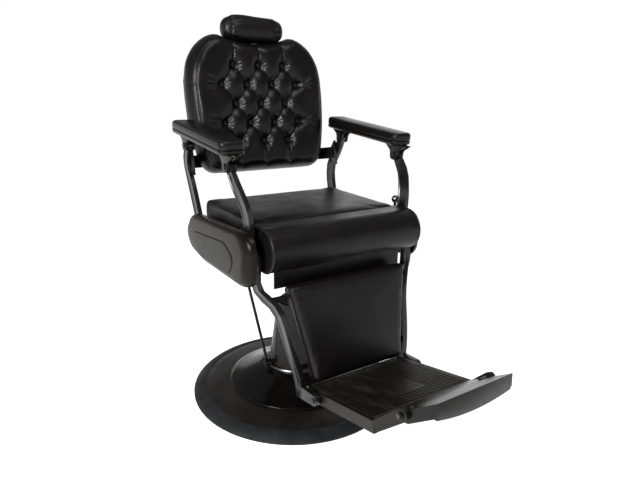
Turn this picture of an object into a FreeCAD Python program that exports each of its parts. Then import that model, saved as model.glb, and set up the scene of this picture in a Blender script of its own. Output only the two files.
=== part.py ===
import FreeCAD, Part
import math
import os
from FreeCAD import Vector

# A reclining shop chair on a round pump base. +Z is up, the sitter faces -Y and the sitter's left is +X.
# The origin is on the floor, on the axis of the lifting column.

# Clearances and general sizes
overrun = 6.0
running_gap = 0.05
face_gap = 0.3
swing_gap = 1.0
unit = 1.0
seam_lap = 1.0
tiny_share = 1e-5
smooth_share = 0.35

# Floor base
base_radius = 353.0
rim_width = 42.0
rim_height = 23.0
rim_edge_height = 6.0
rim_bow = 3.2
plate_top_height = 32.0
plate_edge_height = 22.0
recess_height = 18.0
foot_flange_radius = 110.0
dome_radius = 226.0
dome_lip_height = 7.0
dome_top_radius = 99.0
dome_top_height = 91.0
dome_shoulder_radius = 192.0
dome_shoulder_height = 51.0
dome_wall = 4.0

# Column cover and pump
shroud_foot_radius = 90.0
shroud_top_radius = 62.0
shroud_top_height = 324.0
shroud_wall = 3.0
bead_radius = 5.5
gland_width = 12.0
gland_height = 9.0
cylinder_radius = 42.0
cylinder_flange_radius = 78.0
cylinder_flange_height = 12.0
cylinder_floor = 14.0
pump_bolt_circle = 62.0
pump_bolt_radius = 6.0
pump_bolt_head = 10.0
pump_bolt_head_height = 7.0
pump_bolt_count = 4

# Lifting piston
piston_radius = 30.0
piston_foot_height = 76.0

# Pump lever
lever_height = 112.0
lever_shaft_radius = 7.0
lever_hub_radius = 13.0
lever_hub_start = 99.5
lever_hub_width = 20.0
lever_rod_radius = 5.0
lever_run_back = 158.0
lever_rise = 340.0
lever_run_out = 16.0
lever_grip_radius = 11.0
lever_grip_length = 95.0
valve_boss_radius = 15.0
valve_boss_reach = 20.0
bolt_dome = 3.0

# Seat carrier and frame
hub_roof = 26.0
hub_grip = 52.0
hub_foot_radius = 50.0
hub_top_radius = 74.0
frame_bottom = 516.0
frame_height = 58.0
frame_half_width = 257.0
side_plate_wall = 6.0
side_plate_front = -203.0
side_plate_rear = 160.0
spider_plate = 12.0
spider_arm_width = 74.0
spider_rib_wall = 9.0
beam_width = 44.0
beam_height = 36.0
beam_wall = 5.0
front_beam_y = -112.0
rear_beam_y = 92.0
board_thickness = 15.0
frame_bolt_radius = 7.0

# Seat upholstery
seat_top = 670.0
seat_half_width = 257.5
seat_rear = 159.0
seat_crown = 8.0
seat_edge_radius = 8.0
roll_radius = 62.0
roll_centre_y = -258.0
roll_half_width = 258.0
roll_rear = -204.0
roll_end_draw = 9.0
apron_half_width = 222.0
apron_foot = 494.0
apron_board = 5.0

# Side castings
panel_front = -281.0
panel_length = 466.0
panel_bottom = 500.5
panel_height = 155.0
panel_post_gap = 4.0
panel_depth = 31.0
panel_wall = 6.0
panel_edge_round = 13.0
panel_nose_reach = 36.0
panel_boss_radius = 16.0
panel_boss_reach = 3.0
inset_depth = 3.0
inset_rise = 2.0
inset_gap = 1.4

# Arm linkage in side view
back_pivot_y = 140.0
back_pivot_z = 556.0
rear_pin_y = 165.0
rear_pin_z = 844.0
front_pin_y = -142.0
front_pin_z = 821.0
post_width = 38.0
post_thickness = 14.0
bar_rib_share = 0.16
post_station_count = 12
leg_station_count = 14
post_recess = 2.5
post_frame_gap = 6.0
post_splay = 24.0
post_boss_radius = 17.0
post_eye_radius = 14.0
front_post_bow = 56.0
rear_post_bow = 52.0
link_pin_radius = 8.0
arm_pin_radius = 5.0
arm_pin_head = 8.5
arm_pin_head_height = 3.5
pin_head_sides = 8

# Armrests
arm_half_width = 38.0
arm_rear_reach = 57.0
arm_front_reach = 29.0
arm_frame_bottom = 33.0
arm_frame_height = 13.0
arm_pad_height = 26.0
arm_lip = 3.0
arm_corner = 22.0
arm_pad_round = 9.0
ear_wall = 7.0
ear_gap = 1.0
ear_half_length = 50.0
ear_neck = 16.0

# Backrest, in its own leaning frame
back_foot_y = 219.0
back_foot_z = 738.0
back_lean_angle = 10.0
back_half_width = 261.0
back_length = 457.0
back_crest = 42.0
back_rear = 16.0
back_side_round = 40.0
tuft_pitch = 47.0
tuft_row_pitch = 63.5
tuft_first_row = 100.0
tuft_depth = 28.0
tuft_button_radius = 9.0
tuft_button_height = 5.0
button_sides = 10
scoop_half_width = 134.0
scoop_depth = 24.0
back_board_thickness = 12.0
back_board_inset = 12.0
back_cover_thickness = 6.0
bracket_height = 42.0
bracket_foot = 24.0
bracket_wall = 10.0
bracket_reach_in = 178.0
bracket_flare = 88.0
bracket_post_y = -46.0
back_bolt_radius = 7.0
back_bolt_height = 4.0

# Headrest
headrest_s = 479.0
headrest_y = 6.0
headrest_half_width = 111.0
headrest_height = 80.0
headrest_depth = 84.0
headrest_bar_width = 30.0
headrest_bar_thickness = 6.0
headrest_bar_foot = 230.0
headrest_plate_thickness = 4.0
headrest_plate_half_width = 62.0
headrest_plate_height = 46.0
knuckle_radius = 9.0
knuckle_pin_radius = 4.0
knuckle_half_width = 14.0
knuckle_ear_wall = 6.0
socket_half_width = 25.0
socket_foot = 318.0
socket_height = 76.0
socket_wall = 6.0
knob_radius = 17.0
knob_height = 14.0
knob_stem = 6.0
knob_stem_radius = 5.0
knob_lobe_count = 5

# Legrest
leg_pivot_back = 18.0
leg_pivot_drop = 27.0
leg_arm_x = 270.0
leg_arm_top_width = 42.0
leg_arm_thickness = 16.0
leg_boss_radius = 19.0
leg_foot_y = -345.0
leg_foot_z = 221.0
leg_foot_x = 183.0
leg_foot_width = 34.0
leg_foot_thickness = 18.0
foot_pin_y = -418.0
foot_pin_z = 220.0
foot_pin_radius = 6.0
foot_eye_radius = 14.0
leg_pad_top_y = -314.0
leg_pad_top_z = 518.0
leg_pad_foot_y = -384.0
leg_pad_foot_z = 242.0
leg_pad_top_half_width = 206.0
leg_pad_foot_half_width = 156.0
leg_pad_thickness = 34.0
leg_pad_crown = 8.0
leg_board_thickness = 10.0
leg_bar_radius = 9.0

# Footplate
rail_height = 32.0
rail_thickness = 12.0
rail_outer = 172.0
rail_corner_y = -646.0
rail_corner_z = 271.0
toe_pin_y = -716.0
toe_pin_z = 337.0
toe_pin_radius = 5.0
toe_eye_radius = 17.0
tray_rear_reach = 58.0
tray_thickness = 8.0
tray_rise = 4.0
tread_count = 22
tread_width = 4.5
tread_height = 1.6
tread_margin = 9.0
tread_side_share = 0.36

# Toe board
toe_rear_reach = 84.0
toe_front_reach = 101.0
toe_rear_half_width = 150.5
toe_front_half_width = 121.0
toe_top = 6.0
toe_thickness = 30.0
toe_lip_depth = 43.0
toe_lip_bow = 14.0
toe_lip_wall = 12.0
toe_ear_turn = 15.3
toe_board_slope = 35.5
toe_boss_radius = 10.0

# Recline release lever
release_y = -111.0
release_z = 546.0
release_shaft_radius = 7.0
release_rod_radius = 5.0
release_rise = 117.0
release_out = 8.0
release_knob_radius = 14.0
release_hub_radius = 14.0
knob_ring_count = 9
knob_side_count = 16

leg_pivot_y = roll_centre_y + leg_pivot_back
roll_centre_z = seat_top - roll_radius
leg_pivot_z = roll_centre_z - leg_pivot_drop
front_pivot_y = back_pivot_y + front_pin_y - rear_pin_y
front_pivot_z = back_pivot_z + front_pin_z - rear_pin_z
piston_top_height = frame_bottom - hub_roof
hub_foot_height = piston_top_height - hub_grip
frame_top = frame_bottom + frame_height
post_foot_x = frame_half_width + post_frame_gap + post_thickness / 2
post_head_x = post_foot_x + post_splay
panel_inner = post_foot_x + post_thickness / 2 + panel_post_gap
panel_outer = panel_inner + panel_depth
board_top = frame_top + board_thickness
x_axis = Vector(unit, 0, 0)
y_axis = Vector(0, unit, 0)
z_axis = Vector(0, 0, unit)
origin = Vector(0, 0, 0)


# Shared shapes
def fuse_all(shapes):
    """One solid of shapes that meet or overlap."""
    joined = shapes[0]
    if len(shapes) > 1:
        joined = shapes[0].multiFuse(shapes[1:])
    return joined.removeSplitter()


def cut_all(body, tools):
    """A solid less every tool."""
    return body.cut(tools) if tools else body


def rounded_edges(points, radii):
    """Edges of a closed outline whose corners are rounded, each radius held to its shorter side."""
    count = len(points)
    starts = []
    ends = []
    arcs = []
    for index in range(count):
        corner = points[index]
        before = points[index - 1] - corner
        after = points[(index + 1) % count] - corner
        radius = radii[index]
        turn = before.getAngle(after)
        room = min(before.Length, after.Length) * 0.49
        reach = min(radius / math.tan(turn / 2), room)
        if radius <= 0 or reach <= 0:
            starts.append(corner)
            ends.append(corner)
            arcs.append(None)
            continue
        before.normalize()
        after.normalize()
        start = corner + before * reach
        end = corner + after * reach
        middle_way = before + after
        middle_way.normalize()
        true_radius = reach * math.tan(turn / 2)
        to_centre = true_radius / math.sin(turn / 2)
        middle = corner + middle_way * (to_centre - true_radius)
        starts.append(start)
        ends.append(end)
        arcs.append(Part.Arc(start, middle, end).toShape())
    edges = []
    for index in range(count):
        if arcs[index] is not None:
            edges.append(arcs[index])
        here = ends[index]
        there = starts[(index + 1) % count]
        if here.distanceToPoint(there) > face_gap * tiny_share:
            edges.append(Part.LineSegment(here, there).toShape())
    return edges


def outline_wire(points, radii):
    """A closed wire with rounded corners. One radius serves all corners, or each has its own."""
    if radii == 0:
        return Part.makePolygon(points + points[:1])
    if not isinstance(radii, (list, tuple)):
        radii = [radii] * len(points)
    return Part.Wire(rounded_edges(points, radii))


def side_slab(points_yz, radii, x_from, x_to):
    """A plate whose outline lies in side view, between two planes across the chair."""
    points = [Vector(x_from, y, z) for y, z in points_yz]
    face = Part.Face(outline_wire(points, radii))
    return face.extrude(Vector(x_to - x_from, 0, 0))


def plan_slab(points_xy, radii, z_from, z_to):
    """A plate whose outline lies in plan, between two heights."""
    points = [Vector(x, y, z_from) for x, y in points_xy]
    face = Part.Face(outline_wire(points, radii))
    return face.extrude(Vector(0, 0, z_to - z_from))


def front_slab(points_xz, radii, y_from, y_to):
    """A plate whose outline is seen from the front, between two depths."""
    points = [Vector(x, y_from, z) for x, z in points_xz]
    face = Part.Face(outline_wire(points, radii))
    return face.extrude(Vector(0, y_to - y_from, 0))


def table_value(table, place):
    """A value read along a table of places and values."""
    for (low, low_value), (high, high_value) in zip(table, table[1:]):
        if place <= high:
            return low_value + (high_value - low_value) * (place - low) / (high - low)
    return table[-1][1]


def box(x_from, x_to, y_from, y_to, z_from, z_to):
    """A plain block between three pairs of planes."""
    return Part.makeBox(x_to - x_from, y_to - y_from, z_to - z_from, Vector(x_from, y_from, z_from))


def rod(start, end, radius):
    """A round bar from one point to another."""
    way = end - start
    return Part.makeCylinder(radius, way.Length, start, way)


def cross_rod(x_from, x_to, y, z, radius):
    """A round bar across the chair."""
    return rod(Vector(x_from, y, z), Vector(x_to, y, z), radius)


def stud(base, way, radius, height, sides):
    """A short flat-sided stud, such as a bolt head or a covered button, from its base along a direction."""
    across = way.cross(x_axis)
    if across.Length < smooth_share:
        across = way.cross(y_axis)
    across.normalize()
    other = way.cross(across)
    turns = [2 * math.pi * corner / sides for corner in range(sides)]
    corners = [base + (across * math.cos(turn) + other * math.sin(turn)) * radius for turn in turns]
    return Part.Face(Part.makePolygon(corners + corners[:1])).extrude(way * height)


def turned(points_rz, bulges=None):
    """A solid turned about the column axis. A bulge bows the run that starts at its point."""
    bulges = bulges or {}
    edges = []
    count = len(points_rz)
    for index in range(count):
        start = Vector(points_rz[index][0], 0, points_rz[index][1])
        end = Vector(points_rz[(index + 1) % count][0], 0, points_rz[(index + 1) % count][1])
        if index in bulges:
            run = end - start
            side = run.cross(y_axis)
            side.normalize()
            middle = (start + end) * 0.5 + side * bulges[index]
            edges.append(Part.Arc(start, middle, end).toShape())
        else:
            edges.append(Part.LineSegment(start, end).toShape())
    return Part.Face(Part.Wire(edges)).revolve(origin, z_axis, 360)


def rim_levels(foot_round, top_round, foot, top):
    """Levels and insets that round the foot and the top rim of an upright slab in two facets."""
    low = [(foot, foot_round), (foot + foot_round * 0.3, foot_round * 0.3)] if foot_round else []
    low.append((foot + foot_round, 0))
    high = [(top - top_round, 0), (top - top_round * 0.62, top_round * 0.12),
            (top - top_round * 0.2, top_round * 0.45),
            (top, top_round)]
    return low + high


def ruled(wires):
    """A solid through closed wires, joined by ruled faces."""
    return Part.makeLoft(wires, True, True)


def facet_net(rings):
    """A solid of flat triangles through rings of points, closed by a flat face at each end."""
    faces = [Part.Face(Part.makePolygon(rings[0] + rings[0][:1])),
             Part.Face(Part.makePolygon(rings[-1] + rings[-1][:1]))]
    for row, (lower, upper) in enumerate(zip(rings, rings[1:])):
        for column in range(len(lower)):
            beside = (column + 1) % len(lower)
            a, b, c, d = lower[column], lower[beside], upper[beside], upper[column]
            halves = ((a, b, d), (b, c, d)) if (row + column) % 2 else ((a, b, c), (a, c, d))
            faces += [Part.Face(Part.makePolygon([p, q, r, p])) for p, q, r in halves]
    shell = Part.makeShell(faces)
    shell.sewShape()
    return Part.Solid(shell)


def both_sides(shape):
    """The shape for the sitter's left and its mirror image for the right."""
    return {"left": shape, "right": shape.mirror(origin, x_axis)}


def headed_pin(x_from, x_to, y, z, radius, head_radius, head_height):
    """A pin across the chair with a flat-sided head at its outer end."""
    way = 1 if x_to > x_from else -1
    shank = cross_rod(x_from, x_to, y, z, radius)
    head = stud(Vector(x_to, y, z), x_axis * way, head_radius, head_height, pin_head_sides)
    return fuse_all([shank, head])


def save(node, shape):
    """Write one node's STEP file."""
    if len(shape.Solids) == 1:
        shape = shape.Solids[0]
    shape.exportStep(os.path.join("parts", node + ".step"))


def save_pair(node, shape, left_hole=None):
    """Write the left and right copies of a node. A hole may go into the left one alone."""
    pieces = both_sides(shape)
    if left_hole is not None:
        pieces["left"] = shape.cut(left_hole)
    for side, piece in pieces.items():
        save(node + "_" + side, piece)


# Floor base: a cast disc in a grey edge ring, with a pressed dome over the pump's foot
def make_base():
    disc_radius = base_radius - rim_width
    disc = turned([
        (0, 0),
        (foot_flange_radius, 0),
        (foot_flange_radius, recess_height),
        (disc_radius - rim_width, recess_height),
        (disc_radius - rim_width, 0),
        (disc_radius, 0),
        (disc_radius, plate_edge_height),
        (dome_radius, plate_top_height),
        (0, plate_top_height),
    ])
    save("base_plate", disc)
    ring = turned([
        (disc_radius + face_gap, 0),
        (base_radius, 0),
        (base_radius, rim_edge_height),
        (disc_radius + bead_radius, rim_height),
        (disc_radius + face_gap, plate_edge_height),
    ], {2: -rim_bow})
    save("base_rim", ring)
    lip_top = plate_top_height + dome_lip_height
    dome = turned([
        (dome_radius, plate_top_height),
        (dome_radius, lip_top),
        (dome_shoulder_radius, dome_shoulder_height),
        (dome_top_radius + bead_radius, dome_top_height),
        (shroud_foot_radius, dome_top_height),
        (shroud_foot_radius, dome_top_height - dome_wall),
        (dome_shoulder_radius, dome_shoulder_height - dome_wall),
        (dome_radius - dome_lip_height, plate_top_height),
    ])
    save("base_dome", dome)


def make_column():
    foot_z = dome_top_height
    outer_bead = dome_top_radius
    ring = turned([
        (shroud_foot_radius + face_gap, foot_z),
        (outer_bead, foot_z),
        (outer_bead, foot_z + bead_radius),
        (outer_bead - bead_radius / 2, foot_z + bead_radius * 1.8),
        (shroud_foot_radius + face_gap, foot_z + bead_radius * 1.8),
    ])
    save("shroud_ring", ring)
    shroud = turned([
        (shroud_foot_radius, foot_z + face_gap),
        (shroud_top_radius, shroud_top_height - shroud_wall),
        (shroud_top_radius - shroud_wall, shroud_top_height),
        (cylinder_radius, shroud_top_height),
        (cylinder_radius, shroud_top_height - shroud_wall),
        (shroud_top_radius - shroud_wall, shroud_top_height - shroud_wall),
        (shroud_foot_radius - shroud_wall, foot_z + face_gap),
    ])
    shaft_hole = cross_rod(-cylinder_radius - bead_radius, -shroud_foot_radius - overrun, 0, lever_height,
                           lever_shaft_radius + face_gap)
    save("column_shroud", shroud.cut(shaft_hole))
    flange_top = plate_top_height + cylinder_flange_height
    bore = piston_radius + running_gap
    cylinder = turned([
        (0, plate_top_height),
        (cylinder_flange_radius, plate_top_height),
        (cylinder_flange_radius, flange_top),
        (cylinder_radius, flange_top),
        (cylinder_radius, shroud_top_height - shroud_wall - face_gap),
        (bore, shroud_top_height - shroud_wall - face_gap),
        (bore, plate_top_height + cylinder_floor),
        (0, plate_top_height + cylinder_floor),
    ])
    boss_end = -cylinder_radius - valve_boss_reach
    boss = cross_rod(-piston_radius - bead_radius, boss_end, 0, lever_height, valve_boss_radius)
    cylinder = cylinder.fuse(boss).removeSplitter()
    shaft_bore = cross_rod(-cylinder_radius, boss_end - overrun, 0, lever_height,
                           lever_shaft_radius + running_gap)
    bolt_places = []
    for index in range(pump_bolt_count):
        angle = 2 * math.pi * (index + 0.5) / pump_bolt_count
        bolt_places.append((pump_bolt_circle * math.cos(angle), pump_bolt_circle * math.sin(angle)))
    holes = [rod(Vector(x, y, plate_top_height - overrun), Vector(x, y, flange_top + overrun),
                 pump_bolt_radius)
             for x, y in bolt_places]
    save("pump_cylinder", cut_all(cylinder, [shaft_bore] + holes))
    bolts = []
    for x, y in bolt_places:
        shank = rod(Vector(x, y, plate_top_height), Vector(x, y, flange_top), pump_bolt_radius)
        head = stud(Vector(x, y, flange_top), z_axis, pump_bolt_head, pump_bolt_head_height, 6)
        bolts.append(fuse_all([shank, head]))
    save("pump_bolts", Part.makeCompound(bolts))
    gland = turned([
        (piston_radius + face_gap, shroud_top_height),
        (cylinder_radius + gland_width, shroud_top_height),
        (cylinder_radius + gland_width, shroud_top_height + gland_height / 2),
        (cylinder_radius + gland_width / 2, shroud_top_height + gland_height),
        (piston_radius + face_gap, shroud_top_height + gland_height),
    ])
    save("gland_ring", gland)
    piston = turned([
        (0, piston_foot_height),
        (piston_radius, piston_foot_height),
        (piston_radius, piston_top_height - bead_radius),
        (piston_radius - bead_radius, piston_top_height),
        (0, piston_top_height),
    ])
    save("piston_rod", piston)


def make_pump_lever():
    hub_end = -lever_hub_start - lever_hub_width
    shaft = cross_rod(-cylinder_radius - face_gap, hub_end + bead_radius, 0, lever_height,
                      lever_shaft_radius)
    hub = cross_rod(-lever_hub_start, hub_end, 0, lever_height, lever_hub_radius)
    bolt = Part.makeCone(lever_shaft_radius, lever_shaft_radius / 2, bolt_dome,
                         Vector(hub_end, 0, lever_height),
                         Vector(-1, 0, 0))
    save("lever_hub", fuse_all([shaft, hub, bolt]))
    centre_x = -lever_hub_start - lever_hub_width / 2
    foot = Vector(centre_x, 0, lever_height)
    head = Vector(centre_x - lever_run_out, lever_run_back, lever_height + lever_rise)
    way = head - foot
    way.normalize()
    rod_solid = rod(foot + way * lever_hub_radius * 0.9, head, lever_rod_radius)
    clear_hub = cross_rod(-lever_hub_start + overrun, hub_end - overrun, 0, lever_height, lever_hub_radius)
    save("lever_rod", rod_solid.cut(clear_hub))
    bottom = head - way * lever_grip_length
    slim = lever_grip_radius * 0.7
    cap = lever_rod_radius
    grip = fuse_all([
        Part.makeCone(slim, lever_grip_radius, cap, bottom, way),
        rod(bottom + way * cap, head, lever_grip_radius),
        Part.makeCone(lever_grip_radius, slim, cap, head, way),
    ])
    save("lever_grip", grip.cut(rod(bottom - way * overrun, head, lever_rod_radius)))


# Seat carrier: a cast hub and star on the piston, and a welded frame of plates and beams
def make_seat_carrier():
    bore = piston_radius + running_gap
    spider_bottom = frame_bottom - spider_plate
    hub = turned([
        (bore, hub_foot_height),
        (hub_foot_radius, hub_foot_height),
        (hub_foot_radius, hub_foot_height + bead_radius * 4),
        (hub_top_radius, spider_bottom),
        (hub_top_radius, frame_bottom),
        (0, frame_bottom),
        (0, piston_top_height + face_gap),
        (bore, piston_top_height + face_gap),
    ])
    inner_x = frame_half_width - side_plate_wall
    pieces = [hub]
    for beam_y in (front_beam_y, rear_beam_y):
        for side in (-1, 1):
            tip = Vector(side * inner_x * 0.86, beam_y, 0)
            way = Vector(tip.x, tip.y, 0)
            way.normalize()
            across = Vector(-way.y, way.x, 0)
            wide = across * spider_arm_width / 2
            narrow = across * spider_arm_width * smooth_share
            points = [(p.x, p.y) for p in (wide, tip + narrow, tip - narrow, -wide)]
            pieces.append(plan_slab(points, 0, spider_bottom, frame_bottom))
            rib = front_slab([(0, spider_bottom), (tip.Length * 0.8, spider_bottom),
                              (hub_top_radius * 0.8, hub_foot_height + bead_radius * 4),
                              (0, hub_foot_height + bead_radius * 4)], 0,
                             -spider_rib_wall / 2, spider_rib_wall / 2)
            angle = math.degrees(math.atan2(tip.y, tip.x))
            rib.rotate(origin, z_axis, angle)
            pieces.append(rib)
    spider = fuse_all(pieces)
    bore_tool = rod(Vector(0, 0, hub_foot_height - overrun), Vector(0, 0, piston_top_height + face_gap),
                    bore)
    holes = [rod(Vector(x, y, spider_bottom - overrun), Vector(x, y, frame_bottom + overrun),
                 frame_bolt_radius * 0.6)
             for x, y in frame_bolt_places()]
    save("seat_hub", spider.cut([bore_tool] + holes))


def frame_bolt_places():
    """Plan places of the bolts that hold the frame's beams on the star."""
    reach = (frame_half_width - side_plate_wall) * 0.74
    return [(side * reach, beam_y) for beam_y in (front_beam_y, rear_beam_y) for side in (-1, 1)]


def make_seat_frame():
    inner_x = frame_half_width - side_plate_wall
    plate_points = [(side_plate_front, frame_bottom), (side_plate_rear, frame_bottom),
                    (side_plate_rear, frame_top), (side_plate_front, frame_top)]
    plate = side_slab(plate_points, 0, inner_x, frame_half_width)
    holes = []
    for y, z in ((back_pivot_y, back_pivot_z), (front_pivot_y, front_pivot_z)):
        holes.append(cross_rod(inner_x - overrun, frame_half_width + overrun, y, z, link_pin_radius))
    plate = cut_all(plate, holes)
    pieces = list(both_sides(plate).values())
    for beam_y in (front_beam_y, rear_beam_y):
        outer = box(-inner_x, inner_x, beam_y - beam_width / 2, beam_y + beam_width / 2,
                    frame_bottom, frame_bottom + beam_height)
        inner = box(-inner_x - overrun, inner_x + overrun, beam_y - beam_width / 2 + beam_wall,
                    beam_y + beam_width / 2 - beam_wall, frame_bottom + beam_wall, frame_top)
        pieces.append(outer.cut(inner))
    for bar_front in (side_plate_front, side_plate_rear - side_plate_wall):
        pieces.append(box(-inner_x, inner_x, bar_front, bar_front + side_plate_wall,
                          frame_top - beam_height, frame_top))
    bolt_holes = [rod(Vector(x, y, frame_bottom - overrun), Vector(x, y, frame_bottom + beam_wall + overrun),
                      frame_bolt_radius * 0.6) for x, y in frame_bolt_places()]
    save("seat_frame", fuse_all(pieces).cut(bolt_holes))
    board = plan_slab([(-inner_x, side_plate_front), (inner_x, side_plate_front),
                       (inner_x, side_plate_rear - bead_radius), (-inner_x, side_plate_rear - bead_radius)],
                      bead_radius * 3, frame_top, board_top)
    save("seat_board", board)
    bolts = []
    for x, y in frame_bolt_places():
        seat = frame_bottom + beam_wall
        shank = rod(Vector(x, y, frame_bottom - spider_plate), Vector(x, y, seat), frame_bolt_radius * 0.6)
        head = stud(Vector(x, y, seat), z_axis, frame_bolt_radius, frame_bolt_radius * 0.7, 6)
        bolts.append(fuse_all([shank, head]))
    save("frame_bolts", Part.makeCompound(bolts))


# Crowned cushions, lofted across the chair through sections of lines and arcs
def soft_section(x, y_front, y_rear, z_bottom, z_top, crown, corner):
    """A cushion's section at one place across the chair, with a crowned top and round corners."""
    points = [
        Vector(x, y_rear, z_bottom),
        Vector(x, y_rear, z_top - corner),
        Vector(x, y_rear - corner, z_top),
        Vector(x, y_front + corner, z_top),
        Vector(x, y_front, z_top - corner),
        Vector(x, y_front, z_bottom),
    ]
    lean = corner * (1 - math.sqrt(0.5))
    rear_mid = Vector(x, y_rear - lean, z_top - lean)
    front_mid = Vector(x, y_front + lean, z_top - lean)
    top_mid = Vector(x, (y_front + y_rear) / 2, z_top + crown)
    return Part.Wire([
        Part.LineSegment(points[0], points[1]).toShape(),
        Part.Arc(points[1], rear_mid, points[2]).toShape(),
        Part.Arc(points[2], top_mid, points[3]).toShape(),
        Part.Arc(points[3], front_mid, points[4]).toShape(),
        Part.LineSegment(points[4], points[5]).toShape(),
        Part.LineSegment(points[5], points[0]).toShape(),
    ])


def seat_stations():
    """Places across the seat cushion, each with its share of full rise."""
    width_shares = (1.0, 0.99, 0.965, 0.65, 0.25)
    rise_shares = (0.0, 0.7, 0.9, 0.97, 1.0)
    right = list(zip(width_shares, rise_shares))
    return right + [(-share, rise) for share, rise in right[::-1]]


def make_seat_upholstery():
    bottom = board_top + face_gap
    corner = seat_edge_radius
    wires = []
    for share, rise in seat_stations():
        top = seat_top - corner * (1 - rise) * 0.5
        draw = corner * (1 - rise) * smooth_share
        crown = seat_crown * 0.5 * (0.1 + 0.9 * rise)
        wires.append(soft_section(share * seat_half_width, roll_rear + face_gap + draw, seat_rear - draw,
                                  bottom, top, crown, corner))
    save("seat_cushion", Part.makeLoft(wires, True, True))
    roll_wires = []
    end_shares = ((1.0, 0.0), (0.99, 0.6), (0.965, 0.92), (0.9, 1.0))
    for side in (1, -1):
        part = []
        for share, full in end_shares:
            part.append(roll_section(side * share * roll_half_width, roll_end_draw * (1 - full)))
        roll_wires += part if side == 1 else part[::-1]
    roll = Part.makeLoft(roll_wires, True, True)
    save("front_roll", roll)
    apron = box(-apron_half_width, apron_half_width, roll_centre_y - apron_board / 2,
                roll_centre_y + apron_board / 2,
                apron_foot, roll_centre_z - roll_radius + overrun)
    save("front_apron", apron.cut(roll))


def roll_section(x, draw):
    """The rolled front edge in side view: a half round nose with a flat back against the frame."""
    radius = roll_radius - draw
    top = roll_centre_z + radius
    foot = roll_centre_z - radius
    nose = roll_centre_y - radius
    heel = seat_edge_radius / 2
    rear = roll_rear - draw * smooth_share
    lean = radius * math.sqrt(0.5)
    points = [
        Vector(x, rear, foot + heel),
        Vector(x, rear, top - heel),
        Vector(x, rear - heel, top),
        Vector(x, roll_centre_y, top),
        Vector(x, nose, roll_centre_z),
        Vector(x, roll_centre_y, foot),
        Vector(x, rear - heel, foot),
    ]
    return Part.Wire([
        Part.LineSegment(points[0], points[1]).toShape(),
        Part.LineSegment(points[1], points[2]).toShape(),
        Part.LineSegment(points[2], points[3]).toShape(),
        Part.Arc(points[3], Vector(x, roll_centre_y - lean, roll_centre_z + lean), points[4]).toShape(),
        Part.Arc(points[4], Vector(x, roll_centre_y - lean, roll_centre_z - lean), points[5]).toShape(),
        Part.LineSegment(points[5], points[6]).toShape(),
        Part.LineSegment(points[6], points[0]).toShape(),
    ])


# Side castings: long tapering covers with a raised oval panel, carried on bosses
panel_shares = ((1.0, 0.37), (0.907, 0.85), (0.0, 1.016), (0.028, 0.022), (0.694, -0.01), (0.934, 0.1))
panel_round_shares = (0.3, 0.3, 0.33, 0.3, 1.5, 0.6)
inset_shares = ((0.863, 0.53), (0.325, 0.7), (0.183, 0.49), (0.248, 0.16), (0.793, 0.12))
inset_round_shares = (0.2, 0.3, 0.16, 0.16, 0.22)


def panel_outline(shares):
    """Side view points of a casting outline given in shares of its length and height."""
    return [(panel_front + u * panel_length, panel_bottom + v * panel_height) for u, v in shares]


def panel_wire(shares, round_shares, x, offset):
    """A casting outline at one plane across the chair, grown or shrunk evenly."""
    points = [Vector(x, y, z) for y, z in panel_outline(shares)]
    wire = outline_wire(points, [share * panel_height for share in round_shares])
    return wire.makeOffset2D(offset) if offset else wire


casting_depth_shares = (0.0, 0.3, 0.55, 0.76, 0.91, 1.0)
casting_nose_shares = (0.0, 0.04, 0.16, 0.4, 0.68, 1.0)
casting_edge_shares = (0.0, 0.0, 0.05, 0.25, 0.55, 1.0)


def casting_wire(x, nose, edge):
    """A casting's outline at one plane, its nose drawn back and its other edges drawn in."""
    points = panel_outline(panel_shares)
    middle_z = panel_bottom + panel_height / 2
    placed = []
    for index, (y, z) in enumerate(points):
        drawn = nose if index in (2, 3) else -edge
        drop = edge if z > middle_z else -edge
        placed.append(Vector(x, y + drawn, z - drop))
    return outline_wire(placed, [share * panel_height for share in panel_round_shares])


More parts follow.
